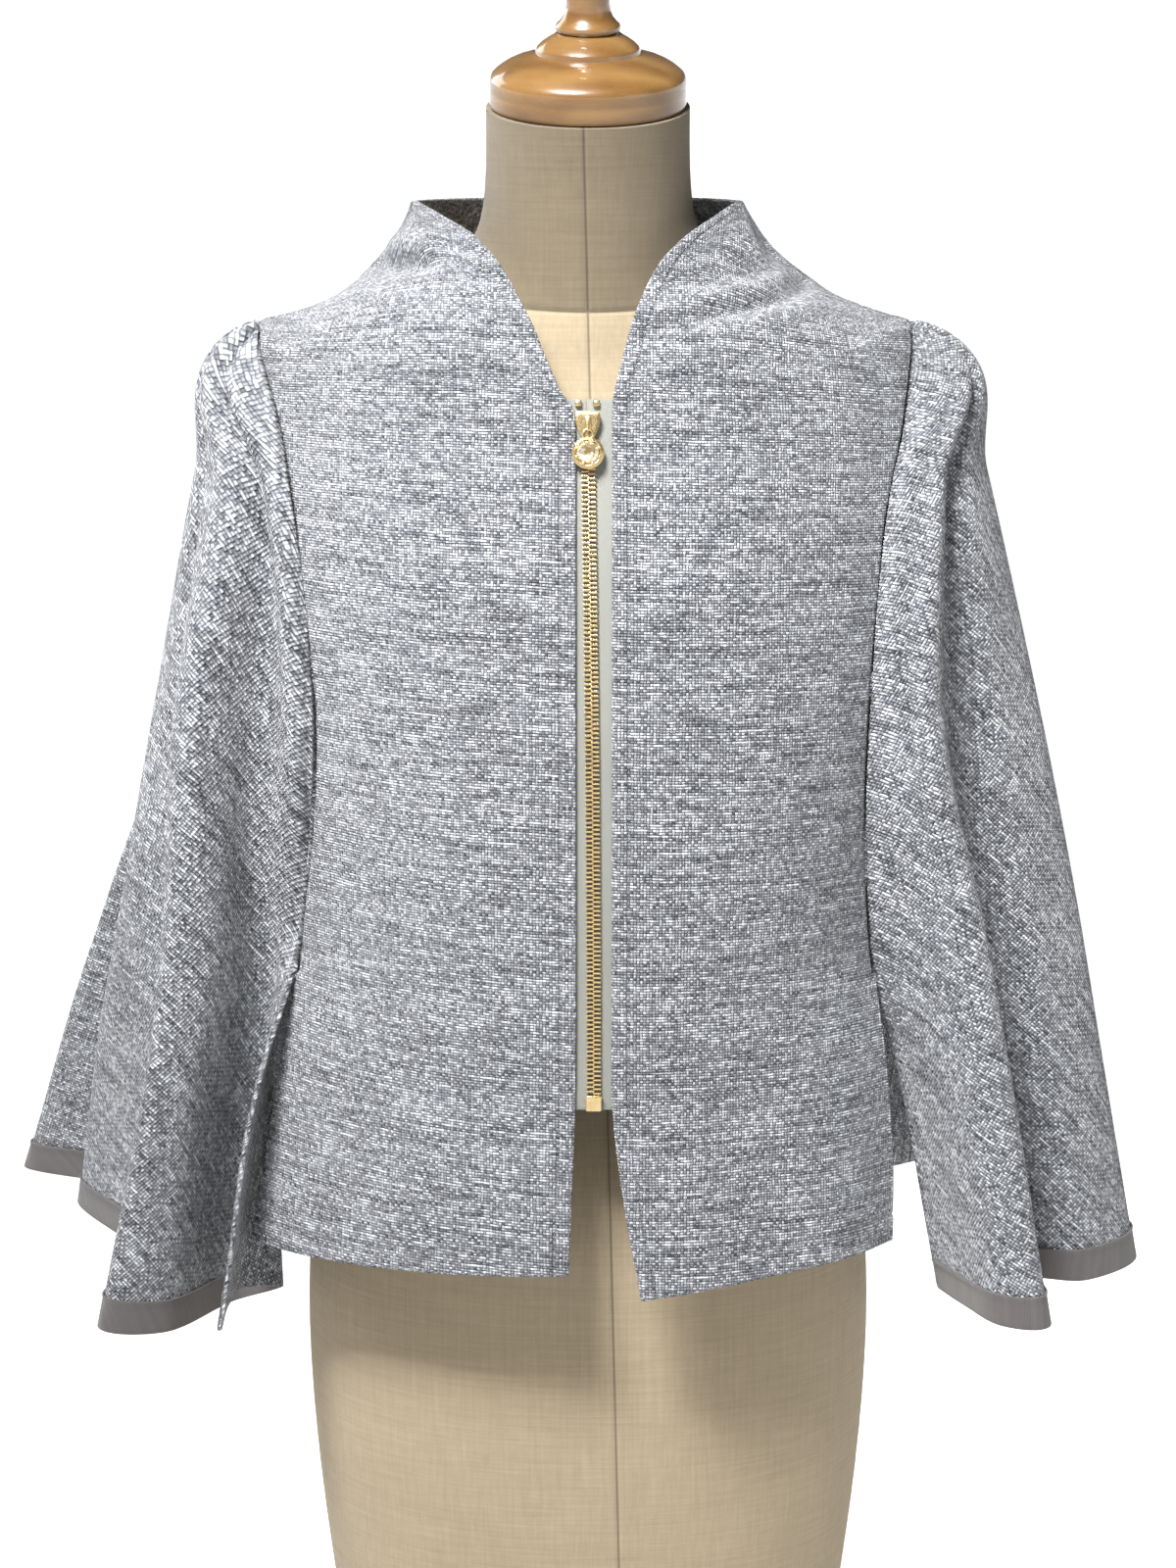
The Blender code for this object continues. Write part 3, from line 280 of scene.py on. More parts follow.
class TweedSettings(bpy.types.PropertyGroup):
    dark: bpy.props.FloatVectorProperty(
        name="Dark yarn", description="Colour of the dark strands", subtype="COLOR", size=3, min=0, max=1,
        default=(0.070, 0.075, 0.092),
    )
    middle: bpy.props.FloatVectorProperty(
        name="Grey yarn", description="Colour of the grey strands", subtype="COLOR", size=3, min=0, max=1,
        default=(0.320, 0.330, 0.357),
    )
    light: bpy.props.FloatVectorProperty(
        name="Light yarn", description="Colour of the light strands", subtype="COLOR", size=3, min=0, max=1,
        default=(0.80, 0.82, 0.86),
    )
    thickness: bpy.props.FloatProperty(
        name="Thickness", description="Thickness of the cloth", unit="LENGTH", default=0.0018, min=0.0008, max=0.004,
    )
    warp: bpy.props.FloatProperty(
        name="Warp pitch", description="Distance from one upright yarn to the next", unit="LENGTH", default=0.0017,
        min=0.0005, max=0.005,
    )
    weft: bpy.props.FloatProperty(
        name="Weft pitch", description="Distance from one crosswise yarn to the next", unit="LENGTH", default=0.0015,
        min=0.0005, max=0.005,
    )
    turn_up: bpy.props.FloatProperty(
        name="Hem", description="Depth of the turned-up hem", unit="LENGTH", default=0.0150, min=0.005, max=0.04,
    )
    edge_stitch: bpy.props.FloatProperty(
        name="Edge stitching", description="Distance of the stitching from the zip's edge", unit="LENGTH",
        default=0.0085, min=0.002, max=0.02,
    )


class TrimSettings(bpy.types.PropertyGroup):
    ribbon: bpy.props.FloatVectorProperty(
        name="Ribbon", description="Colour of the hem's ribbon", subtype="COLOR", size=3, min=0, max=1,
        default=(0.118, 0.108, 0.106),
    )
    tape: bpy.props.FloatVectorProperty(
        name="Zip tape", description="Colour of the zip's tape", subtype="COLOR", size=3, min=0, max=1,
        default=(0.27, 0.275, 0.25),
    )
    gold: bpy.props.FloatVectorProperty(
        name="Gold", description="Colour of the metal", subtype="COLOR", size=3, min=0, max=1,
        default=(0.92, 0.70, 0.36),
    )
    tooth_pitch: bpy.props.FloatProperty(
        name="Tooth pitch", description="Distance between teeth of one side", unit="LENGTH", default=0.0024,
        min=0.001, max=0.005,
    )
    rib_pitch: bpy.props.FloatProperty(
        name="Rib pitch", description="Distance between the ribbon's ribs", unit="LENGTH", default=0.0008,
        min=0.0003, max=0.003,
    )


class FormSettings(bpy.types.PropertyGroup):
    linen: bpy.props.FloatVectorProperty(
        name="Linen", description="Colour of the form's cover", subtype="COLOR", size=3, min=0, max=1,
        default=(0.49, 0.395, 0.265),
    )
    wood: bpy.props.FloatVectorProperty(
        name="Wood", description="Colour of the varnished wood", subtype="COLOR", size=3, min=0, max=1,
        default=(0.190, 0.097, 0.026),
    )
    steel: bpy.props.FloatVectorProperty(
        name="Steel", description="Colour of the pole", subtype="COLOR", size=3, min=0, max=1,
        default=(0.56, 0.56, 0.57),
    )
    paint: bpy.props.FloatVectorProperty(
        name="Paint", description="Colour of the plate", subtype="COLOR", size=3, min=0, max=1,
        default=(0.030, 0.030, 0.032),
    )
    turned_sides: bpy.props.IntProperty(
        name="Sides", description="Sides of the turned pieces", default=72, min=24, max=128,
    )


class StageSettings(bpy.types.PropertyGroup):
    floor: bpy.props.FloatVectorProperty(
        name="Floor", description="Colour of the floor and wall", subtype="COLOR", size=3, min=0, max=1,
        default=(0.50, 0.50, 0.50),
    )
    lens: bpy.props.FloatProperty(name="Lens", description="Focal length", default=81.8, min=20, max=300)
    distance: bpy.props.FloatProperty(
        name="Distance", description="From the camera to the middle of the view", unit="LENGTH", default=2.0, min=0.5,
    )
    pitch: bpy.props.FloatProperty(
        name="Pitch", description="How far the camera looks down", unit="ROTATION", default=math.radians(12),
    )
    key: bpy.props.FloatProperty(name="Key light", description="Power of the main light", default=8.7, min=0)
    fill: bpy.props.FloatProperty(name="Fill light", description="Power of the side lights", default=3, min=0)
    rim: bpy.props.FloatProperty(name="Rim light", description="Power of the light behind", default=14, min=0)
    sky: bpy.props.FloatProperty(name="Sky", description="Strength of the surrounding light", default=0.09, min=0)
    floor_glow: bpy.props.FloatProperty(name="Floor glow", description="Glow of the floor", default=0.95, min=0)
    backdrop: bpy.props.FloatProperty(name="Wall glow", description="Glow of the round wall", default=0.95, min=0)
    studio: bpy.props.FloatProperty(
        name="Studio", description="Radius of the floor and wall", unit="LENGTH", default=25, min=8, max=60,
    )


# ---- Surfaces of the cloth


def smooth(knots, values, at):
    """The values at the knots, joined by a smooth curve and read at each place."""
    knots = np.asarray(knots, float)
    values = np.asarray(values, float).reshape(len(knots), -1)
    step = np.diff(knots)[:, None]
    slope = np.diff(values, axis=0) / step
    inner = (slope[:-1] * step[1:] + slope[1:] * step[:-1]) / (step[1:] + step[:-1])
    tangent = np.vstack([slope[:1], inner, slope[-1:]])
    at = np.atleast_1d(np.asarray(at, float))
    span = np.clip(np.searchsorted(knots, at, side="right") - 1, 0, len(knots) - 2)
    length = step[span]
    t = (at - knots[span])[:, None] / length
    return (
        values[span] * (2 * t**3 - 3 * t**2 + 1)
        + values[span + 1] * (3 * t**2 - 2 * t**3)
        + tangent[span] * length * (t**3 - 2 * t**2 + t)
        + tangent[span + 1] * length * (t**3 - t**2)
    )


def read(table, names, stations):
    """The named columns of a table of stations, read at any stations."""
    return smooth(range(len(table)), [[getattr(row, name) for name in names] for row in table], stations)


def side_line(side, face, stations):
    """The places on a side's seam line, on its fore or aft face."""
    found = read(SIDE_STATIONS, (side, face, "height"), stations)
    found[:, 0] *= -1 if side == "right" else 1
    return found


def arc_shares(start, end, shares):
    """How far out and how far round each row has come at each share of its arc."""
    turn = np.radians(start[:, None] + (end - start)[:, None] * shares)
    first, last = np.radians(start)[:, None], np.radians(end)[:, None]
    out = (np.sin(turn) - np.sin(first)) / (np.sin(last) - np.sin(first))
    back = (np.cos(first) - np.cos(turn)) / (np.cos(first) - np.cos(last))
    return out, back


def grid_normals(grid, like):
    """A unit normal at each point of a grid, turned to the side that a direction gives at the grid's middle."""
    normal = np.cross(np.gradient(grid, axis=1), np.gradient(grid, axis=0))
    normal /= np.maximum(np.linalg.norm(normal, axis=2, keepdims=True), TINY)
    row, column = (count // 2 for count in grid.shape[:2])
    return normal * np.sign(np.dot(normal[row, column], like))


def creased(grid, stations, shares, facing, creases, fade):
    """The grid with each of the creases pressed into it."""
    for crease in creases:
        offset = stations[:, None] - crease.station
        across = (shares - crease.share - crease.slant * offset) / crease.wide
        dip = crease.deep * np.exp(-((offset / crease.tall) ** 2) - across**2) * fade
        grid = grid - facing * dip[..., None]
    return grid


def bent_rows(middle, far, angles, shares):
    """Rows from a middle line to a far line, each bent in an arc between its two angles."""
    return middle + (far - middle) * np.stack([*arc_shares(*angles, shares), shares], axis=2)


def front_surface(side, stations, shares):
    """The middle surface of a front at each station and at each share of its row, from the zip to the side."""
    edge = read(FRONT_EDGE, (side, "fore", "height"), stations)
    angles = read(FRONT_EDGE, ("start", "end"), stations).T
    far = side_line(side, "fore", stations)
    grid = bent_rows(edge[:, None], far[:, None], angles, shares)
    if side == "left":
        low = np.clip(1 - stations / SLIT, 0, 1)[:, None] ** 2
        grid[..., 2] -= LEFT_CORNER_DROP * low * (1 - shares) ** 2
    fade = np.sin(np.pi * np.clip(shares * 0.5 + 0.5, 0, 1)) ** 0.5
    return creased(grid, stations, shares, grid_normals(grid, FORE), CREASES[side], fade)


def back_surface(stations, shares):
    """The middle surface of the back, where the share runs from -1 at the right seam to 1 at the left."""
    centre = np.insert(read(BACK_CENTRE, ("aft", "height"), stations), 0, 0, axis=1)
    angles = read(BACK_CENTRE, ("start", "end"), stations).T
    right, left = side_line("right", "aft", stations), side_line("left", "aft", stations)
    far = np.where((shares < 0)[..., None], right[:, None], left[:, None])
    grid = bent_rows(centre[:, None], far, angles, np.abs(shares))
    fade = np.clip((1 - np.abs(shares)) * PANEL_FADE, 0, 1)
    return creased(grid, stations, shares, grid_normals(grid, AFT), CREASES["back"], fade)


def cape_surface(side, stations, heights, shares):
    """The middle surface of a cape: rows at the seam's stations from the shoulder down, then at the heights below
    the slit, and columns at the shares of the way round from the front edge to the back edge."""
    sign = dict(SIDES)[side]
    folds = FOLDS[side]
    knots = [fold.share for fold in folds]
    fore, aft = side_line(side, "fore", stations), side_line(side, "aft", stations)
    rows = np.concatenate([fore[:, 2], heights])
    around = np.pi * shares
    under = side_line(side, "fore", [UNDER_POINT - 1])[0]
    crown_out = abs(under[0]) + (CROWN_OUT[side] - abs(under[0])) * np.sin(around) ** CROWN_ROUND
    crown = np.stack([crown_out, -CROWN_DEEP * np.cos(around)], axis=1)
    first, last = side_line(side, "fore", [UNDER_POINT])[0], side_line(side, "aft", [UNDER_POINT])[0]
    point = side_line(side, "fore", [SHOULDER_POINT])[0]
    corners = np.array([(abs(first[0]), first[1]), (abs(point[0]), 0), (abs(last[0]), last[1])])
    top = np.stack([np.interp(shares, (0, 0.5, 1), corners[:, i]) for i in (0, 1)], axis=1)
    names = ("hem", "skirt", "waist", "bust", "chest")
    levels = [smooth(knots, [getattr(fold, name) for fold in folds], shares) for name in names]
    levels = np.stack([*levels, crown, top])
    level_heights = (CAPE_HEM, *CAPE_HEIGHTS[::-1], CROWN_HEIGHT, first[2])
    grid = np.empty((len(rows), len(shares), 3))
    flat = smooth(level_heights, levels.reshape(len(levels), -1), rows)
    grid[..., :2] = flat.reshape(len(rows), len(shares), 2)
    grid[..., 0] *= sign
    near_top = np.clip(stations - (UNDER_POINT - 1), 0, 1)[:, None]
    tent = 1 - np.abs(2 * shares - 1)
    lift = (1 - near_top) * np.sin(around) ** 2 + near_top * tent
    rise = smooth(*zip(*CROWN_RISE), stations)
    grid[..., 2] = rows[:, None]
    grid[: len(stations), :, 2] += rise * lift
    blend = np.clip(np.minimum(shares, 1 - shares) * SEAM_BLEND, 0, 1)[None, :, None]
    seams = np.where((shares < 0.5)[None, :, None], fore[:, None], aft[:, None])
    upper = grid[: len(stations)]
    grid[: len(stations)] = seams * (1 - blend) + upper * blend
    slit_height = side_line(side, "fore", [SLIT])[0, 2]
    fall = smooth(knots, [fold.rise for fold in folds], shares)[:, 0]
    down = np.clip((rows[:, None] - slit_height) / (CAPE_HEM - slit_height), 0, 1)
    grid[..., 2] += fall * down**RISE_CURVE
    return grid


def lengths(grid, axis):
    """The distance along each row (axis 1) or column (axis 0) of a grid, from its start."""
    steps = np.linalg.norm(np.diff(grid, axis=axis), axis=2)
    start = np.zeros_like(np.take(steps, [0], axis=axis))
    return np.concatenate([start, np.cumsum(steps, axis=axis)], axis=axis)


MILLIMETRE = 0.001
# Distances from an edge at which a panel's columns and rows lie close, in millimetres
EDGE_STEPS = (0, 1.6, 2.5, 3.4, 4.3, 5.2, 6.1, 6.9, 7.5, 8.0, 8.5, 9.0, 9.5, 10.1, 11.0, 12.2, 13.4, 14.6)
SEAM_STEPS = (0, 0.7, 1.4, 2.2, 3.0, 4.0, 5.5, 7.5)
MIDDLE_STEPS = (0, 3)
HEM_STEPS = (0, 1.6, 3.0, 4.5, 6.0, 8.0, 10.0, 11.5, 12.5, 13.2, 13.9, 14.6, 15.3, 16.0, 17.0, 18.5, 20.5)
# The most of a line's length that the close steps at one end may take
CLOSE_SHARE = 0.46


def spaced(total, near, far, count):
    """Distances along a line of a given length: close steps at both ends, and even ones between."""
    near, far = np.array(near) * MILLIMETRE, np.array(far) * MILLIMETRE
    near, far = (steps * min(1, CLOSE_SHARE * total / steps[-1]) for steps in (near, far))
    middle = np.linspace(near[-1], total - far[-1], count + 2)[1:-1]
    return np.concatenate([near, middle, total - far[::-1]])


def refined_shares(surface, stations, near, far, count):
    """The shares of each row that lie at close steps from its two ends."""
    dense = np.linspace(0, 1, 401)
    reach = lengths(surface(stations, np.tile(dense, (len(stations), 1))), 1)
    return np.array([np.interp(spaced(row[-1], near, far, count), row, dense) for row in reach])


def stations_between(low, high, step):
    """Stations a given distance apart along the side line."""
    dense = np.linspace(low, high, 200)
    line = side_line("right", "fore", dense)
    reach = np.concatenate([[0], np.cumsum(np.linalg.norm(np.diff(line, axis=0), axis=1))])
    count = max(1, round(reach[-1] / step))
    return np.interp(np.linspace(0, reach[-1], count + 1), reach, dense)


# The height of the first station, and the distances between rows on the panels, over the shoulder and on the collar
HEM_STATION = 0.0435
PANEL_STEP = 0.0034
POINT_STEP = 0.0025
COLLAR_STEP = 0.0024
HEM_STATIONS = np.array(HEM_STEPS) * MILLIMETRE / HEM_STATION
SEAM_STATIONS = stations_between(SLIT, UNDER_POINT, PANEL_STEP)
PANEL_STATIONS = np.concatenate(
    [
        HEM_STATIONS,
        stations_between(HEM_STATIONS[-1], SLIT, PANEL_STEP)[1:-1],
        SEAM_STATIONS,
        stations_between(UNDER_POINT, SHOULDER_POINT, POINT_STEP)[1:],
        stations_between(SHOULDER_POINT, COLLAR_TOP, COLLAR_STEP)[1:],
    ]
)
BELOW_SLIT = PANEL_STATIONS < SLIT
SEAM_ROWS = np.searchsorted(PANEL_STATIONS, SEAM_STATIONS - 1e-9)
SHOULDER_ROW = int(np.searchsorted(PANEL_STATIONS, SHOULDER_POINT - 1e-9))
# How many even columns a front and half the back have, and the shares of a cape's row at which its columns lie
FRONT_COLUMNS = 44
BACK_COLUMNS = 52
CAPE_EDGE = np.array([0, 0.6, 1.2, 2.0, 3.0, 4.2, 5.6, 7.2, 9.0]) / 780
CAPE_MIDDLE = np.linspace(CAPE_EDGE[-1], 1 - CAPE_EDGE[-1], 214)[1:-1]
CAPE_SHARES = np.concatenate([CAPE_EDGE, CAPE_MIDDLE, 1 - CAPE_EDGE[::-1]])
# The rows under a cape's ribbon, as shares of the ribbon's depth
BINDING_ROWS = np.array([0.15, 0.35, 0.55, 0.75, 0.9, 1.0])
# How far the fronts' grain leans off the level
FRONT_LEAN = 0.05


def mitre(normals):
    """The direction in which a seam's edges are cut, and how long it is, from the normals of what meets there."""
    total = np.sum(normals, axis=0)
    total /= np.linalg.norm(total, axis=-1, keepdims=True)
    slant = np.clip(np.sum(total * normals[0], axis=-1, keepdims=True), 0.6, 1)
    return total / slant


Panel = namedtuple("Panel", "mid out uv along across")


def fine_creased(name, grid, stations, shares, like, fade):
    """The grid with the creases that only the looks have."""
    return creased(grid, stations, shares, grid_normals(grid, like), FINE_CREASES[name], fade)


def laid_out(grid, like, flat):
    """A panel's parts, where a function gives its flat coordinates from its grid and the distances along it."""
    along, across = lengths(grid, 0), lengths(grid, 1)
    return [grid, grid_normals(grid, like), flat(grid, along, across), along, across]


def front_uv(sign, grid, along, across):
    """A front's flat coordinates, from the body's middle and the floor, with a little lean."""
    u = across + np.abs(grid[:, :1, 0])
    return np.stack([u, along + grid[:1, :, 2] + FRONT_LEAN * u * sign], axis=2)


def back_uv(grid, along, across):
    """The back's flat coordinates, from its middle column and the floor."""
    middle = across[:, grid.shape[1] // 2][:, None]
    return np.stack([across - middle, along + grid[:1, :, 2]], axis=2)


# How much faster than its cut the grain of each cape turns, and the grain's turn on the middle of the arm
GRAIN = {"right": (1.3, math.radians(-24)), "left": (1.0, math.radians(53))}
# The radius at which the yarns keep their size, how fine they are there, and how much a column's fall counts
GRAIN_RADIUS = 0.5
GRAIN_FINE = 0.9
GRAIN_FALL = 0.6


def cape_uv(side, grid, along, across):
    """The flat cut of a cape is a sector of a ring, so its grain turns with the way round. The map keeps angles."""
    speed, first_turn = GRAIN[side]
    middle = across[:, grid.shape[1] // 2][:, None]
    down = along[:, grid.shape[1] // 2]
    spread, first = np.polyfit(down, across[:, -1], 1)
    radius = (down + first / spread)[:, None]
    turn = speed * (across - middle) / radius + first_turn
    reach = (radius + (along - down[:, None]) * GRAIN_FALL) ** speed
    reach = GRAIN_FINE * reach / (speed * GRAIN_RADIUS ** (speed - 1))
    return np.stack([dict(SIDES)[side] * reach * np.sin(turn), -reach * np.cos(turn)], axis=2)


def make_panels():
    """The fronts, back and capes as grids of points with their normals, their flat cloth coordinates in metres and
    the distances along their columns and rows. Neighbours share their seam lines."""
    panels = {}
    for side, sign in SIDES:
        surface = partial(front_surface, side)
        shares = refined_shares(surface, PANEL_STATIONS, EDGE_STEPS, SEAM_STEPS, FRONT_COLUMNS)
        fade = np.clip((1 - shares) * PANEL_FADE, 0, 1)
        grid = fine_creased(side, surface(PANEL_STATIONS, shares), PANEL_STATIONS, shares, FORE, fade)
        panels[f"front_{side}"] = laid_out(grid, FORE, partial(front_uv, sign))
    half = refined_shares(back_surface, PANEL_STATIONS, MIDDLE_STEPS, SEAM_STEPS, BACK_COLUMNS)
    shares = np.concatenate([-half[:, :0:-1], half], axis=1)
    fade = np.clip((1 - np.abs(shares)) * PANEL_FADE, 0, 1)
    grid = fine_creased("back", back_surface(PANEL_STATIONS, shares), PANEL_STATIONS, shares, AFT, fade)
    panels["back"] = laid_out(grid, AFT, back_uv)
    for side, sign in SIDES:
        slit_height = side_line(side, "fore", [SLIT])[0, 2]
        count = round((slit_height - CAPE_HEM) / PANEL_STEP)
        heights = np.linspace(slit_height, CAPE_HEM, count + 1)[1:]
        below = SLIT - (slit_height - heights) / (slit_height - CAPE_HEM) * SLIT
        rows = np.concatenate([SEAM_STATIONS[::-1], below])
        fade = np.clip(np.minimum(CAPE_SHARES, 1 - CAPE_SHARES) * CAPE_FADE, 0, 1)
        grid = cape_surface(side, SEAM_STATIONS[::-1], heights, CAPE_SHARES)
        grid = fine_creased(f"cape_{side}", grid, rows, CAPE_SHARES, (sign, 0, 0), fade)
        fall = grid[-1] - grid[-2]
        fall /= np.linalg.norm(fall, axis=1, keepdims=True)
        grid = np.concatenate([grid, grid[-1] + fall * (BINDING_ROWS * BINDING_DEEP)[:, None, None]])
        panels[f"cape_{side}"] = laid_out(grid, (sign, 0, 0), partial(cape_uv, side))
    join_normals(panels)
    return {name: Panel(*parts) for name, parts in panels.items()}


def join_normals(panels):
    """Turns the normals at each seam into the direction that halves its angle."""
    rows = SEAM_ROWS[::-1]
    count = len(rows)
    back_out = panels["back"][1]
    for side in ("right", "left"):
        front_out, cape_out = panels[f"front_{side}"][1], panels[f"cape_{side}"][1]
        end = -1 if side == "left" else 0
        columns = cape_out.shape[1]
        half = columns // 2
        front_join = mitre(np.stack([front_out[rows, -1], cape_out[:count, 0]]))
        back_join = mitre(np.stack([back_out[rows, end], cape_out[:count, -1]]))
        point = mitre(np.stack([front_out[SHOULDER_ROW, -1], back_out[SHOULDER_ROW, end], cape_out[0, half]]))
        ridge = slice(SHOULDER_ROW + 1, None)
        ridge_join = mitre(np.stack([front_out[ridge, -1], back_out[ridge, end]]))
        front_out[rows, -1] = cape_out[:count, 0] = front_join
        back_out[rows, end] = cape_out[:count, -1] = back_join
        front_out[SHOULDER_ROW, -1] = back_out[SHOULDER_ROW, end] = point
        front_out[ridge, -1] = back_out[ridge, end] = ridge_join
        for column in range(columns):
            near = front_join[0] if column <= half else back_join[0]
            share = column / half if column <= half else (columns - 1 - column) / (columns - 1 - half)
            cape_out[0, column] = near + (point - near) * min(1, share)


def rim_of(rows, columns):
    """The grid places round a grid's edge, in order."""
    rim = [(0, c) for c in range(columns)] + [(r, columns - 1) for r in range(1, rows)]
    return rim + [(rows - 1, c) for c in range(columns - 2, -1, -1)] + [(r, 0) for r in range(rows - 2, 0, -1)]


def outward(grid, places):
    """The unit direction in which each place on a grid's edge leaves the grid."""
    away = np.zeros((len(places), grid.shape[2]))
    for axis, size in enumerate(grid.shape[:2]):
        for edge, step in ((0, 1), (size - 1, -1)):
            at = places[:, axis] == edge
            inside = places[at].copy()
            inside[:, axis] += step
            gap = grid[places[at, 0], places[at, 1]] - grid[inside[:, 0], inside[:, 1]]
            away[at] += gap / np.maximum(np.linalg.norm(gap, axis=1, keepdims=True), TINY)
    return away / np.maximum(np.linalg.norm(away, axis=1, keepdims=True), TINY)


RIM_STEPS = 3


def shell(name, panel, half_out, half_in, free, finish, shade=None):
    """A wall of cloth round a panel's middle surface. Its edges are round where free is 1 and square where it is 0."""
    mid, out, uv = panel.mid, panel.out, panel.uv
    rows, columns = mid.shape[:2]
    outer, inner = mid + out * half_out[..., None], mid - out * half_in[..., None]
    rim = rim_of(rows, columns)
    places = np.array(rim)
    r, c = places.T
    away, away_uv = (outward(grid, places) for grid in (mid, uv))
    half = (half_out + half_in)[r, c][:, None] / 2
    reach = half * free[r, c][:, None]
    outer[r, c] -= away * reach
    inner[r, c] -= away * reach
    centre = (outer[r, c] + inner[r, c]) / 2
    levels, level_uv = [], []
    for step in range(1, RIM_STEPS + 1):
        turn = math.pi * step / (RIM_STEPS + 1)
        levels.append(centre + out[r, c] * half * math.cos(turn) + away * reach * math.sin(turn))
        level_uv.append(uv[r, c] + away_uv * half * turn)
    points = np.concatenate([outer.reshape(-1, 3), inner.reshape(-1, 3), *levels])
    flat_uv = uv.reshape(-1, 2)
    point_uv = np.concatenate([flat_uv, flat_uv, *level_uv])
    index = np.arange(rows * columns).reshape(rows, columns)
    quads = np.stack([index[:-1, :-1], index[:-1, 1:], index[1:, 1:], index[1:, :-1]], axis=2).reshape(-1, 4)
    back = quads[:, ::-1] + rows * columns
    ring = [index[r, c]]
    ring += [2 * rows * columns + len(rim) * k + np.arange(len(rim)) for k in range(RIM_STEPS)]
    ring += [index[r, c] + rows * columns]
    sides = [np.stack([np.roll(a, -1), a, b, np.roll(b, -1)], axis=1) for a, b in zip(ring, ring[1:])]
    faces = np.concatenate([quads, back, *sides])
    first = points[quads[len(quads) // 2]]
    facing = np.cross(first[1] - first[0], first[3] - first[0])
    if np.dot(facing, out.reshape(-1, 3)[quads[len(quads) // 2][0]]) < 0:
        faces = faces[:, ::-1]
    mesh = bpy.data.meshes.new(name)
    mesh.from_pydata(points.tolist(), [], faces.tolist())
    mesh.uv_layers.new(name="cloth").data.foreach_set("uv", point_uv[faces.reshape(-1)].reshape(-1))
    # Painted shade along seams and stitches lies on the outer face and the rim; the inner face gets none
    shade = np.zeros(uv.shape[:2]) if shade is None else shade
    point_painted_shade = np.concatenate([shade.reshape(-1), shade.reshape(-1) * 0, *[shade[r, c]] * RIM_STEPS])
    mesh.attributes.new("painted_seam_stitch_shade", "FLOAT", "POINT").data.foreach_set("value", point_painted_shade)
    mesh.shade_smooth()
    mesh.materials.append(finish)
    made = bpy.data.objects.new(name, mesh)
    bpy.context.scene.collection.objects.link(made)
    return made


def hollow(distance, at, width, depth):
    """A soft groove along a line at a distance from an edge."""
    return -depth * np.exp(-(((distance - at) / width) ** 2))


def layer(distance, deep, thick, soft=0.0008):
    """The extra thickness of a turned-up or faced edge."""
    return thick * (0.5 - 0.5 * np.tanh((distance - deep) / soft))


# How deep a free edge is turned in, and the width and depth of the groove along a seam
ROLL_DEEP = 0.0090
SEAM_GROOVE = (0.0016, 0.0015)
# How far the painted shade beside a seam and beside stitches reaches, and how dark the stitches' painted shade is
PAINTED_SEAM_SHADE_WIDE = 0.0016
PAINTED_STITCH_SHADE_WIDE = 0.0007
PAINTED_STITCH_SHADE = 0.45


def rolled(distance):
    """The extra thickness of a free edge that is turned in twice, with its line of stitches."""
    relief = -hollow(distance, 0.0010, 0.0014, 0.0008) + layer(distance, ROLL_DEEP, 0.0004)
    return relief + hollow(distance, ROLL_DEEP, 0.0008, 0.0006)


def stitched(distance, deep):
    """The extra thickness of an edge that is folded in and stitched down."""
    return layer(distance, deep, 0.0005) + hollow(distance, deep, 0.0008, 0.0008)


def painted_line_shade(distance, at, width):
    """How much painted shade a line at a distance from an edge gets, from 0 to 1."""
    return np.exp(-(((distance - at) / width) ** 2))


def painted_panel_shade(seam, stitch_lines):
    """The painted shade along a front's or the back's seam and along its lines of stitches, given as (distance, place)
    pairs.
    """
    shade = np.where(BELOW_SLIT[:, None], 0, painted_line_shade(seam, 0, PAINTED_SEAM_SHADE_WIDE))
    for distance, at in stitch_lines:
        shade = np.maximum(shade, PAINTED_STITCH_SHADE * painted_line_shade(distance, at, PAINTED_STITCH_SHADE_WIDE))
    return shade


PANELS = make_panels()


def settle(made, node=None, body=WORN):
    """Makes a finished piece ride on its body and in place of its CAD node."""
    if node:
        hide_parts(node)
    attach(made, body)
    return made


# ---- Materials


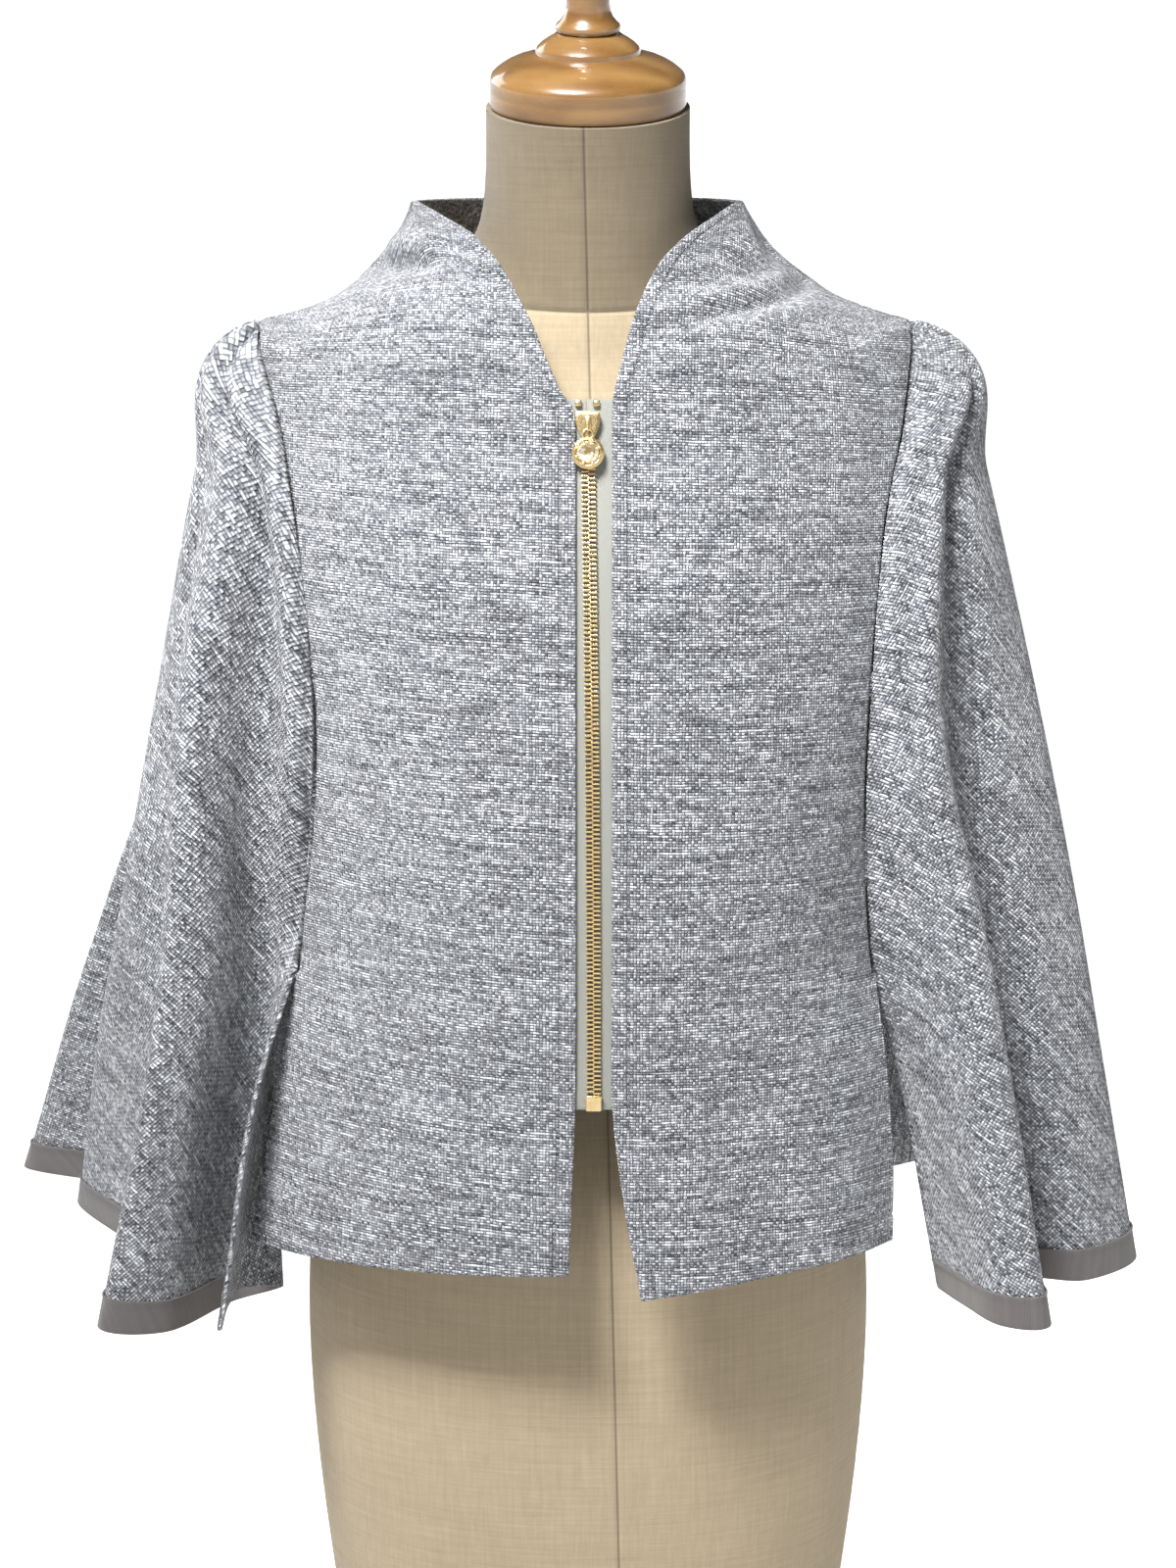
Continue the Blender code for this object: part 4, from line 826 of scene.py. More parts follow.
class Net:
    """Adds and joins the nodes of a material or a node group."""

    def __init__(self, tree):
        self.tree = tree

    def feed(self, socket, value):
        """Links an output to a socket, or sets the socket's own value."""
        if isinstance(value, bpy.types.NodeSocket):
            self.tree.links.new(value, socket)
        else:
            socket.default_value = value

    def node(self, kind, inputs=None, **settings):
        """Adds a node with its settings and feeds its inputs."""
        made = self.tree.nodes.new(kind)
        for key, value in settings.items():
            setattr(made, key, value)
        for key, value in (inputs or {}).items():
            self.feed(made.inputs[key], value)
        return made

    def math(self, operation, *values, clamp=False):
        made = self.node("ShaderNodeMath", operation=operation, use_clamp=clamp)
        for socket, value in zip(made.inputs, values):
            self.feed(socket, value)
        return made.outputs[0]

    def split(self, vector):
        return self.node("ShaderNodeSeparateXYZ", {"Vector": vector}).outputs[:]

    def place(self, x, y, z=0.0):
        return self.node("ShaderNodeCombineXYZ", {"X": x, "Y": y, "Z": z}).outputs[0]

    def noise(self, vector, scale=1.0, detail=1.0, rough=0.5):
        inputs = {"Vector": vector, "Scale": scale, "Detail": detail, "Roughness": rough}
        return self.node("ShaderNodeTexNoise", inputs, noise_dimensions="3D")

    def ranged(self, value, low, high, to_low=0.0, to_high=1.0):
        """A value that is moved from one range to another, and held inside it."""
        inputs = {"Value": value, "From Min": low, "From Max": high, "To Min": to_low, "To Max": to_high}
        return self.node("ShaderNodeMapRange", inputs).outputs[0]

    def mix(self, factor, one, two, blend="MIX"):
        made = self.node("ShaderNodeMix", data_type="RGBA", blend_type=blend)
        for number, value in ((0, factor), (6, one), (7, two)):
            self.feed(made.inputs[number], value)
        return made.outputs[2]

    def shaded(self, colour, shade):
        """A colour times a shade."""
        return self.mix(1.0, colour, self.place(shade, shade, shade), "MULTIPLY")

    def swayed(self, value, noise, factor, clamp=False):
        """A value moved by a noise's distance from one half, times a factor."""
        return self.math("MULTIPLY_ADD", self.math("SUBTRACT", noise, 0.5), factor, value, clamp=clamp)

    def object_place(self):
        return self.node("ShaderNodeTexCoord").outputs["Object"]

    def cloth_place(self):
        return self.node("ShaderNodeUVMap", uv_map="cloth").outputs[0]


def group(name, inputs, outputs):
    """A new shader node group with its named sockets, and the net and end nodes to fill it."""
    tree = bpy.data.node_groups.new(name, "ShaderNodeTree")
    for label, kind, default in inputs:
        socket = tree.interface.new_socket(name=label, in_out="INPUT", socket_type=kind)
        if default is not None:
            socket.default_value = default
    for label, kind in outputs:
        tree.interface.new_socket(name=label, in_out="OUTPUT", socket_type=kind)
    net = Net(tree)
    return tree, net, net.node("NodeGroupInput"), net.node("NodeGroupOutput")


FLOAT, COLOUR, VECTOR = "NodeSocketFloat", "NodeSocketColor", "NodeSocketVector"


# Above this, a crossing of the weave is turned over. Slubs and streaks run along a yarn by these shares of its pitch.
TURNED_OVER = 0.84
SLUB_RUN = 0.30
STREAK_RUN = 0.05


def weave_group():
    """Slubby yarns over and under each other, with painted shade in the gaps between them, on flat cloth coordinates
    in metres.
    """
    found = bpy.data.node_groups.get("slub weave")
    if found:
        return found
    tree, net, start, end = group(
        "slub weave",
        [
            ("Cloth", VECTOR, None), ("Warp Pitch", FLOAT, 0.0017), ("Weft Pitch", FLOAT, 0.0015),
            ("Wobble", FLOAT, 0.4), ("Dark", COLOUR, (0.1, 0.1, 0.1, 1)), ("Middle", COLOUR, (0.4, 0.4, 0.4, 1)),
            ("Light", COLOUR, (0.8, 0.8, 0.8, 1)),
        ],
        [("Colour", COLOUR), ("Height", FLOAT)],
    )
    given = start.outputs
    u, v, _ = net.split(given["Cloth"])
    bend_x, bend_y, _ = net.split(net.noise(given["Cloth"], 60, 2, 0.6).outputs["Color"])
    x = net.math("DIVIDE", u, given["Warp Pitch"])
    y = net.math("DIVIDE", v, given["Weft Pitch"])
    x = net.swayed(x, bend_x, net.math("MULTIPLY", given["Wobble"], 2.6))
    y = net.swayed(y, bend_y, net.math("MULTIPLY", given["Wobble"], 2.2))
    warp, weft = net.math("FLOOR", x), net.math("FLOOR", y)
    warp_round, weft_round = (
        net.math("SINE", net.math("MULTIPLY", net.math("FRACT", way), math.pi)) for way in (x, y)
    )
    spots = net.node("ShaderNodeTexWhiteNoise", {"Vector": net.place(warp, weft)}, noise_dimensions="2D")
    cell = spots.outputs["Value"]
    turn = net.math("FLOORED_MODULO", net.math("ADD", warp, weft), 2.0)
    over = net.math("ABSOLUTE", net.math("SUBTRACT", turn, net.math("GREATER_THAN", cell, TURNED_OVER)))
    weft_place = net.place(net.math("MULTIPLY", x, SLUB_RUN), net.math("MULTIPLY", weft, 7.31))
    warp_place = net.place(net.math("MULTIPLY", warp, 5.13), net.math("MULTIPLY", y, SLUB_RUN), 9.0)
    streak_place = net.place(net.math("MULTIPLY", x, STREAK_RUN), net.math("MULTIPLY", weft, 3.7), 4.0)
    weft_slub, warp_slub, streak = (
        net.noise(place, 1, 1).outputs[0] for place in (weft_place, warp_place, streak_place)
    )
    slub = net.mix(over, warp_slub, weft_slub)
    value = net.math("MULTIPLY_ADD", over, 0.16, net.swayed(0.42, slub, 0.75))
    value = net.swayed(value, cell, 0.52)
    value = net.swayed(value, streak, 0.70)
    value = net.swayed(value, net.noise(given["Cloth"], 16, 2).outputs[0], 0.12, clamp=True)
    low = net.mix(net.ranged(value, 0.08, 0.5), given["Dark"], given["Middle"])
    colour = net.mix(net.ranged(value, 0.5, 0.95), low, given["Light"])
    # Painted shade: each yarn darkens towards its edges and the gaps between yarns are dark; along the streaks the
    # gaps between weft rows get darker still
    round_ = net.math("MULTIPLY_ADD", net.math("SUBTRACT", weft_round, warp_round), over, warp_round)
    crossed = net.math("MULTIPLY", warp_round, weft_round)
    raised = net.math("MULTIPLY_ADD", round_, 0.6, net.math("MULTIPLY", crossed, 0.4))
    gap = net.ranged(streak, 0.30, 0.55, 0.02, 0.18)
    shade = net.math("MULTIPLY_ADD", net.math("POWER", raised, 0.75), net.math("SUBTRACT", 1.0, gap), gap)
    between = net.math("SUBTRACT", 1.0, net.math("POWER", weft_round, 0.6))
    painted_row_gap_shade = net.math("MULTIPLY", between, net.ranged(streak, 0.44, 0.36, 0.0, 0.9))
    shade = net.math("MULTIPLY", shade, net.math("SUBTRACT", 1.0, painted_row_gap_shade))
    net.feed(end.inputs["Colour"], net.shaded(colour, shade))
    net.feed(end.inputs["Height"], net.math("MULTIPLY_ADD", raised, 0.7, net.math("MULTIPLY", slub, 0.6)))
    return tree


def grain_group():
    """Fine dirt, brush lines and tone that vary over a surface, on object coordinates."""
    found = bpy.data.node_groups.get("surface tone")
    if found:
        return found
    tree, net, start, end = group(
        "surface tone",
        [("Place", VECTOR, None), ("Stretch", VECTOR, (1, 1, 1)), ("Scale", FLOAT, 40.0), ("Low", FLOAT, 0.8)],
        [("Tone", FLOAT), ("Fine", FLOAT)],
    )
    given = start.outputs
    stretched = net.node("ShaderNodeVectorMath", {0: given["Place"], 1: given["Stretch"]}, operation="MULTIPLY")
    broad = net.noise(stretched.outputs[0], given["Scale"], 3, 0.6).outputs[0]
    fine = net.noise(stretched.outputs[0], net.math("MULTIPLY", given["Scale"], 14.0), 2, 0.6).outputs[0]
    mixed = net.math("MULTIPLY_ADD", fine, 0.35, net.math("MULTIPLY", broad, 0.65))
    net.feed(end.inputs["Tone"], net.ranged(mixed, 0.3, 0.7, given["Low"], 1.0))
    net.feed(end.inputs["Fine"], fine)
    return tree


def new_material(name, rough, metal=0.0, sheen=0.0, coat=0.0, level=0.5):
    """A material with its constant values set on the shader, and a net to add its nodes with."""
    made = bpy.data.materials.new(name)
    made.use_nodes = True
    shader = made.node_tree.nodes["Principled BSDF"]
    values = {
        "Roughness": rough, "Metallic": metal, "Sheen Weight": sheen, "Coat Weight": coat, "Specular IOR Level": level,
    }
    for key, value in values.items():
        shader.inputs[key].default_value = value
    return made, Net(made.node_tree), shader


def coloured(net, shader, colour, height=None, strength=0.0, distance=0.0):
    """Feeds a material's colour and, where it has a height, its bump."""
    net.feed(shader.inputs["Base Color"], colour)
    if height is not None:
        inputs = {"Height": height, "Strength": strength, "Distance": distance}
        net.feed(shader.inputs["Normal"], net.node("ShaderNodeBump", inputs).outputs["Normal"])


def in_group(net, tree, **inputs):
    """Places a node group with its inputs and hands out its outputs."""
    made = net.node("ShaderNodeGroup", node_tree=tree)
    for key, value in inputs.items():
        net.feed(made.inputs[key.replace("_", " ")], value)
    return made.outputs


def grain(net, place, **inputs):
    """Places the group of surface tones."""
    return in_group(net, grain_group(), Place=place, **inputs)


def rgba(colour):
    """A colour with full alpha."""
    return (*colour, 1)


def shared(name):
    """Makes a material the first time that its function is called, and finds it again after that."""
    def wrap(build):
        return lambda: bpy.data.materials.get(name) or build(name)
    return wrap


# How dark the painted shade is in the middle of a seam
PAINTED_SHADE_DEPTH = 0.82


@shared("tweed cloth")
def tweed(name):
    """The garment's cloth, with painted shade along its seams and its lines of stitches."""
    given = bpy.context.scene.bolero_tweed
    made, net, shader = new_material(name, 0.92, sheen=0.25, level=0.15)
    out = in_group(
        net, weave_group(), Cloth=net.cloth_place(), Warp_Pitch=given.warp, Weft_Pitch=given.weft,
        Dark=rgba(given.dark), Middle=rgba(given.middle), Light=rgba(given.light),
    )
    # Painted shade: the cloth's colour is darkened along its seams and its lines of stitches
    seam = net.node("ShaderNodeAttribute", attribute_name="painted_seam_stitch_shade").outputs["Fac"]
    dark = net.math("MULTIPLY_ADD", seam, -PAINTED_SHADE_DEPTH, 1.0)
    coloured(net, shader, net.shaded(out["Colour"], dark), out["Height"], 1.0, 0.0013)
    return made


@shared("grosgrain ribbon")
def ribbon(name):
    """Ribbed ribbon."""
    trim = bpy.context.scene.bolero_trim
    made, net, shader = new_material(name, 0.55, sheen=0.15, level=0.35)
    u, v, _ = net.split(net.cloth_place())
    rib = net.math("SINE", net.math("MULTIPLY", u, 2 * math.pi / trim.rib_pitch))
    tone = net.noise(net.place(net.math("MULTIPLY", u, 260.0), net.math("MULTIPLY", v, 20.0)), 1, 2).outputs[0]
    shade = net.math("MULTIPLY_ADD", rib, 0.10, net.ranged(tone, 0.3, 0.7, 0.84, 1.04))
    coloured(net, shader, net.shaded(rgba(trim.ribbon), shade), rib, 0.5, 0.0002)
    return made


# The width of a herringbone's rib, and the pitch of its yarns
HERRINGBONE = 0.0019
TWILL_PITCH = 0.0011


@shared("herringbone tape")
def zip_tape(name):
    """Woven tape with a herringbone."""
    trim = bpy.context.scene.bolero_trim
    made, net, shader = new_material(name, 0.8, sheen=0.1, level=0.25)
    u, v, _ = net.split(net.cloth_place())
    zigzag = net.math("PINGPONG", u, HERRINGBONE)
    twill = net.math("SINE", net.math("MULTIPLY", net.math("ADD", v, zigzag), 2 * math.pi / TWILL_PITCH))
    shade = net.math("MULTIPLY_ADD", twill, 0.12, 0.92)
    coloured(net, shader, net.shaded(rgba(trim.tape), shade), twill, 0.5, 0.0002)
    return made


@shared("sewing thread")
def thread(name):
    """Thread between the dark and the grey yarn."""
    given = bpy.context.scene.bolero_tweed
    made, net, shader = new_material(name, 0.6, sheen=0.2, level=0.3)
    tone = grain(net, net.object_place(), Scale=900.0, Low=0.75)["Tone"]
    coloured(net, shader, net.mix(tone, rgba(given.dark), rgba(given.middle)))
    return made


def metal_finish(name, colour, rough, metal=1.0, stretch=(1, 1, 1), scale=120.0, low=0.85, bump=(0.08, 0.0002)):
    """Metal or paint whose roughness varies between two values."""
    found = bpy.data.materials.get(name)
    if found:
        return found
    made, net, shader = new_material(name, rough[0], metal=metal)
    out = grain(net, net.object_place(), Stretch=stretch, Scale=scale, Low=low)
    net.feed(shader.inputs["Roughness"], net.ranged(out["Fine"], 0.3, 0.7, *rough))
    coloured(net, shader, net.shaded(rgba(colour), out["Tone"]), out["Fine"], *bump)
    return made


def gold():
    """The metal of the zip and the charm."""
    trim = bpy.context.scene.bolero_trim
    return metal_finish("light gold", trim.gold, (0.20, 0.36), scale=160.0, low=0.82, bump=(0.05, 0.0001))


@shared("cut crystal")
def crystal(name):
    """A foiled crystal whose cells each get a tone between dark gold and near white, as painted glints off its facets.
    """
    made, net, shader = new_material(name, 0.04, metal=0.75, coat=1.0)
    # Painted glints: the cells range from dark gold to near white, standing in for the facets' reflections
    painted_glints = net.node("ShaderNodeTexVoronoi", {"Vector": net.object_place(), "Scale": 420.0}).outputs["Color"]
    tone = net.ranged(net.split(painted_glints)[0], 0.2, 0.9)
    coloured(net, shader, net.mix(tone, (0.55, 0.40, 0.16, 1), (1.0, 0.95, 0.78, 1)))
    return made


# How high the seam between the form's body and neck lies in front, how much it rises to the back, and where the
# neck's front is. The middle seam leans a little. The neck above its seam is darkened with painted shade.
NECK_SEAM = 0.972
NECK_SLOPE = 0.26
NECK_FORE = 0.072
MIDDLE_LEAN = 0.025
NECK_PAINTED_SHADE = 0.45


@shared("linen cover")
def linen(name):
    """The form's cover, with its middle seam, its neck seam and painted shade on the neck."""
    given = bpy.context.scene.bolero_form
    made, net, shader = new_material(name, 0.9, sheen=0.15, level=0.2)
    place = net.object_place()
    level = grain(net, place, Stretch=(0.05, 0.05, 1.6), Scale=420.0, Low=0.80)
    upright = grain(net, place, Stretch=(1.5, 1.5, 0.04), Scale=420.0, Low=0.82)
    broad = grain(net, place, Scale=14.0, Low=0.90)
    shade = net.math("MULTIPLY", net.math("MULTIPLY", level["Tone"], upright["Tone"]), broad["Tone"])
    x, y, z = net.split(place)
    middle = net.math("ABSOLUTE", net.math("MULTIPLY_ADD", net.math("SUBTRACT", z, NECK_SEAM), MIDDLE_LEAN, x))
    round_neck = net.math("MULTIPLY_ADD", y, -NECK_SLOPE, z)
    round_neck = net.math("SUBTRACT", round_neck, NECK_SEAM + NECK_SLOPE * NECK_FORE)
    near = net.math("MINIMUM", middle, net.math("ABSOLUTE", round_neck))
    seam = net.ranged(near, 0.0002, 0.0010)
    shade = net.math("MULTIPLY", shade, net.math("MULTIPLY_ADD", seam, 0.5, 0.5))
    # Painted shade: the neck above its seam is darkened
    shade = net.math("MULTIPLY", shade, net.ranged(round_neck, -0.001, 0.001, 1.0, NECK_PAINTED_SHADE))
    bulge = net.math("MULTIPLY", net.ranged(near, 0.0002, 0.0022), 3.0)
    height = net.math("ADD", bulge, net.math("ADD", level["Fine"], upright["Fine"]))
    coloured(net, shader, net.shaded(rgba(given.linen), shade), height, 0.5, 0.0004)
    return made


# How the wood's colour is multiplied in its dark and in its light rings
DARK_RING = (0.62, 0.52, 0.42)
LIGHT_RING = (1.30, 1.42, 1.7)


@shared("honey wood")
def varnished_wood(name):
    """Wood with rings and grain under a glossy coat."""
    wood = bpy.context.scene.bolero_form.wood
    made, net, shader = new_material(name, 0.32, coat=1.0)
    shader.inputs["Coat Roughness"].default_value = 0.06
    place = net.object_place()
    out = grain(net, place, Stretch=(0.35, 1.0, 2.6), Scale=60.0, Low=0.0)
    bent = net.noise(place, 9, 2).outputs[0]
    _, y, z = net.split(place)
    rings = net.math("MULTIPLY_ADD", z, 230.0, net.math("MULTIPLY", y, 60.0))
    rings = net.math("MULTIPLY_ADD", bent, 26.0, rings)
    band = net.math("MULTIPLY_ADD", net.math("SINE", rings), 0.5, 0.5)
    value = net.math("MULTIPLY_ADD", band, 0.45, net.math("MULTIPLY", out["Tone"], 0.55))
    dark, light = (rgba([min(1, a * b) for a, b in zip(wood, ring)]) for ring in (DARK_RING, LIGHT_RING))
    coloured(net, shader, net.mix(value, dark, light), out["Fine"], 0.05, 0.0002)
    return made


def glowing(name, colour, strength):
    """White paper that gives light of its own."""
    made, net, shader = new_material(name, 0.9, level=0.2)
    shader.inputs["Emission Color"].default_value = (1, 1, 1, 1)
    shader.inputs["Emission Strength"].default_value = strength
    tone = net.ranged(net.noise(net.object_place(), 3, 2).outputs[0], 0.3, 0.7, 0.985, 1.0)
    coloured(net, shader, net.shaded(rgba(colour), tone))
    return made


# ---- Pieces of cloth


def free_edges(shape, first_row=0, last_row=0, first_column=0, last_column=0):
    """Where a panel's edges are free and rounded: whole rows, and columns whole or where a mask says so."""
    free = np.zeros(shape)
    free[0], free[-1] = first_row, last_row
    for column, mask in ((0, first_column), (-1, last_column)):
        free[:, column] = np.maximum(free[:, column], mask)
    return free


def cloth_half():
    """Half the thickness of the tweed."""
    return bpy.context.scene.bolero_tweed.thickness / 2


def front_hem(side):
    """How deep a front's hem is turned up. The right one's is a little less deep."""
    return bpy.context.scene.bolero_tweed.turn_up - (0.002 if side == "right" else 0)


def add_sheet(name, panel, walls, free, look, node, shade=None):
    """Makes a sheet of cloth from its panel and the outer and inner half of its wall."""
    finish, slot = look
    made = shell(name, panel, *walls, free, finish, shade)
    settle(made, node)


def add_panel(node, relief, free, shade):
    """Makes the tweed sheet of one of the garment's panels, with its painted shade along seams and stitches."""
    panel = PANELS[node]
    half = np.full(panel.mid.shape[:2], cloth_half())
    walls = (half + relief, half)
    add_sheet(f"{node}_cloth", panel, walls, free, (tweed(), "tweed"), node, shade)


def strip_of(mid, out):
    """A narrow panel with flat cloth coordinates of its own."""
    along, across = lengths(mid, 0), lengths(mid, 1)
    return Panel(mid, out, np.stack([across, along], axis=2), along, across)


class BOLERO_OT_fronts(bpy.types.Operator):
    """Makes the two fronts, each cut in one with its half of the stand collar"""

    bl_idname = "bolero.fronts"
    bl_label = "Fronts"

    def execute(self, context):
        stitch_at = context.scene.bolero_tweed.edge_stitch
        for side, _ in SIDES:
            panel = PANELS[f"front_{side}"]
            hem, edge, seam = panel.along, panel.across, panel.across[:, -1:] - panel.across
            turn_up = front_hem(side)
            relief = stitched(hem, turn_up)
            relief += stitched(edge, stitch_at)
            relief += np.where(BELOW_SLIT[:, None], rolled(seam), hollow(seam, 0, *SEAM_GROOVE))
            free = free_edges(hem.shape, 1, 1, 1, BELOW_SLIT)
            # Painted shade along the seam and along the hem's and the edge's stitches
            shade = painted_panel_shade(seam, ((hem, turn_up), (edge, stitch_at)))
            add_panel(f"front_{side}", relief, free, shade)
        return {"FINISHED"}


class BOLERO_OT_back(bpy.types.Operator):
    """Makes the back, cut in one with the back of the stand collar"""

    bl_idname = "bolero.back"
    bl_label = "Back"

    def execute(self, context):
        panel = PANELS["back"]
        hem, seam = panel.along, np.minimum(panel.across, panel.across[:, -1:] - panel.across)
        turn_up = context.scene.bolero_tweed.turn_up
        relief = stitched(hem, turn_up)
        relief += np.where(BELOW_SLIT[:, None], rolled(seam), hollow(seam, 0, *SEAM_GROOVE))
        relief += hollow(hem[-1:] - hem, 0.0085, 0.0009, 0.0004)
        free = free_edges(hem.shape, 1, 1, BELOW_SLIT, BELOW_SLIT)
        # Painted shade along the seams and along the hem's stitches
        add_panel("back", relief, free, painted_panel_shade(seam, ((hem, turn_up),)))
        return {"FINISHED"}


class BOLERO_OT_capes(bpy.types.Operator):
    """Makes the two cape sleeves with their flutes"""

    bl_idname = "bolero.capes"
    bl_label = "Capes"

    def execute(self, context):
        for side, _ in SIDES:
            panel = PANELS[f"cape_{side}"]
            top, seam = panel.along, np.minimum(panel.across, panel.across[:, -1:] - panel.across)
            loose = np.arange(len(panel.mid)) >= len(SEAM_STATIONS)
            sewn = 1.0 - loose[:, None]
            piped = hollow(seam, 0, 0.0010, 0.0016) - hollow(seam, 0.0026, 0.0014, 0.0010)
            relief = sewn * piped + (1 - sewn) * rolled(seam)
            relief += sewn * (hollow(top, 0, 0.0012, 0.0012) - hollow(top, 0.0030, 0.0014, 0.0006))
            free = free_edges(top.shape, 0, 1, loose, loose)
            # Painted shade along the cape's seams to the front and the back and over the shoulder
            shade = sewn * np.maximum(painted_line_shade(seam, 0, PAINTED_SEAM_SHADE_WIDE), painted_line_shade(top, 0, PAINTED_SEAM_SHADE_WIDE))
            add_panel(f"cape_{side}", relief, free, shade)
        return {"FINISHED"}


STITCH_STEP = 0.0030
STITCH_LONG = 0.0021
STITCH_WIDE = 0.00034
STITCH_SUNK = 0.0001
STITCH_AHEAD = 0.0008
# How far from a front's corner its lines of stitches start, and the rows of a cape that its ribbon and stitches take
HEM_START = 0.003
EDGE_START = 0.004
RIBBON_ROWS = 7
CAPE_STITCH_ROW = -8


def line_at(panel, half, distances, at, order):
    """Points and normals on a panel's face along the line at a distance from one of its edges."""
    points, normals = [], []
    for number in order:
        column = distances[:, number]
        place = np.searchsorted(column, at)
        if 0 < place < len(column):
            share = (at - column[place - 1]) / (column[place] - column[place - 1])
            points.append(panel.mid[place - 1, number] * (1 - share) + panel.mid[place, number] * share)
            normals.append(panel.out[place, number])
    return np.array(points) + np.array(normals) * half, np.array(normals)


def stitches(points, normals):
    """A frame for each stitch along a line, with X along the line and Z out of the cloth."""
    reach = np.concatenate([[0], np.cumsum(np.linalg.norm(np.diff(points, axis=0), axis=1))])

    def at(values, place):
        """The values read at a place along the line."""
        return np.array([np.interp(place, reach, values[:, k]) for k in range(3)])

    frames = []
    for place in np.arange(STITCH_STEP, reach[-1] - STITCH_STEP, STITCH_STEP):
        here = at(points, place)
        along = Vector(at(points, place + STITCH_AHEAD) - here).normalized()
        across = Vector(at(normals, place)).cross(along).normalized()
        basis = Matrix((along, across, along.cross(across))).transposed().to_4x4()
        frames.append(Matrix.Translation(here) @ basis)
    return frames


class BOLERO_OT_stitching(bpy.types.Operator):
    """Sews the hems, the edges along the zip and the collar's edge with single stitches"""

    bl_idname = "bolero.stitching"
    bl_label = "Stitching"

    def execute(self, context):
        given = context.scene.bolero_tweed
        half = cloth_half() - STITCH_SUNK
        for side, _ in SIDES:
            panel = PANELS[f"front_{side}"]
            sideways = Panel(*(part.swapaxes(0, 1) for part in panel))
            columns = np.flatnonzero(panel.across[0] > HEM_START)
            rows = np.flatnonzero(panel.along[:, 0] > EDGE_START)
            hem = line_at(panel, half, panel.along, front_hem(side), columns)
            self.sew(f"front_{side}", hem, line_at(sideways, half, sideways.across, given.edge_stitch, rows))
        panel = PANELS["back"]
        self.sew("back", line_at(panel, half, panel.along, given.turn_up, range(1, panel.mid.shape[1] - 1)))
        for side, _ in SIDES:
            panel = PANELS[f"cape_{side}"]
            mid, out = panel.mid[CAPE_STITCH_ROW], panel.out[CAPE_STITCH_ROW]
            self.sew(f"cape_{side}", (mid + out * (half + STITCH_SUNK), out))
        return {"FINISHED"}

    def sew(self, name, *lines):
        """Makes one piece of all the stitches along some lines."""
        deselect()
        bpy.ops.mesh.primitive_uv_sphere_add(segments=6, ring_count=5, radius=0.5, rotation=(0, math.pi / 2, 0))
        bpy.context.object.scale = (STITCH_WIDE, STITCH_WIDE, STITCH_LONG)
        bpy.ops.object.transform_apply(location=False, rotation=True, scale=True)
        copies(bpy.context.object, [place for line in lines for place in stitches(*line)])
        settle(applied(f"{name}_stitches", thread(), angle=80))


RIBBON_HALF = 0.0003
RIBBON_CLEAR = 0.0002


class BOLERO_OT_bindings(bpy.types.Operator):
    """Makes the grosgrain ribbon round each cape's hem"""

    bl_idname = "bolero.bindings"
    bl_label = "Hem ribbons"

    def execute(self, context):
        for side, _ in SIDES:
            mid, out = (part[-RIBBON_ROWS:] for part in PANELS[f"cape_{side}"][:2])
            strip = strip_of(mid + out * (cloth_half() + RIBBON_CLEAR + RIBBON_HALF), out)
            thick = np.full(strip.along.shape, RIBBON_HALF)
            walls = (thick + layer(strip.along, 0.0016, 0.0007, 0.0004), thick)
            free = free_edges(strip.along.shape, 1, 1, 1, 1)
            add_sheet(
                f"binding_{side}_ribbon", strip, walls, free, (ribbon(), "ribbon"), f"binding_{side}",
            )
        return {"FINISHED"}


# ---- The zip


def cloth_depth(places, heights):
    """How far fore or aft the fronts' middle surface lies at each place across the zip and at each height."""
    depths = np.empty((len(heights), len(places)))
    for number, place in enumerate(places):
        front = PANELS["front_left" if place > ZIP_CENTRE else "front_right"].mid
        row_depths, row_heights = np.empty((2, len(front)))
        for r, row in enumerate(front):
            out = np.abs(row[:, 0] - ZIP_CENTRE)
            row_depths[r], row_heights[r] = (np.interp(abs(place - ZIP_CENTRE), out, row[:, k]) for k in (1, 2))
        depths[:, number] = np.interp(heights, row_heights, row_depths)
    return depths


def zip_place(height):
    """How far the zip's middle lies across the front at each height."""
    share = (np.asarray(height) - ZIP_FOOT) / (ZIP_TOP - ZIP_FOOT)
    return ZIP_CENTRE + ZIP_TOP_SHIFT * share**2


def zip_frame(height):
    """A frame on the zip's line: X across, Z along the zip and -Y out of the cloth."""
    step = 0.004
    low, high = cloth_depth([ZIP_CENTRE], [height - step, height + step])[:, 0]
    lean = math.atan2(high - low, 2 * step)
    place = (float(zip_place(height)), (low + high) / 2, height)
    return Matrix.Translation(place) @ Matrix.Rotation(-lean, 4, "X")


TAPE_HALF = 0.00035
TAPE_WIDTH = (0.0003, 0.0160)


class BOLERO_OT_zip_tapes(bpy.types.Operator):
    """Makes the woven tapes behind the fronts' edges"""

    bl_idname = "bolero.zip_tapes"
    bl_label = "Zip tapes"

    def execute(self, context):
        heights = np.linspace(ZIP_FOOT, ZIP_TOP, 150)
        for side, sign in SIDES:
            outs = np.linspace(*TAPE_WIDTH, 12) * sign
            mid = np.empty((len(heights), len(outs), 3))
            mid[..., 0] = zip_place(heights)[:, None] + outs[None, :]
            mid[..., 1] = cloth_depth(ZIP_CENTRE + outs, heights) + cloth_half() + TAPE_CLEAR + TAPE_HALF
            mid[..., 2] = heights[:, None]
            thick = np.full(mid.shape[:2], TAPE_HALF)
            add_sheet(
                f"zip_tape_{side}_web", strip_of(mid, grid_normals(mid, FORE)), (thick, thick),
                np.ones(mid.shape[:2]), (zip_tape(), "zip_tape"), f"zip_tape_{side}",
            )
        return {"FINISHED"}


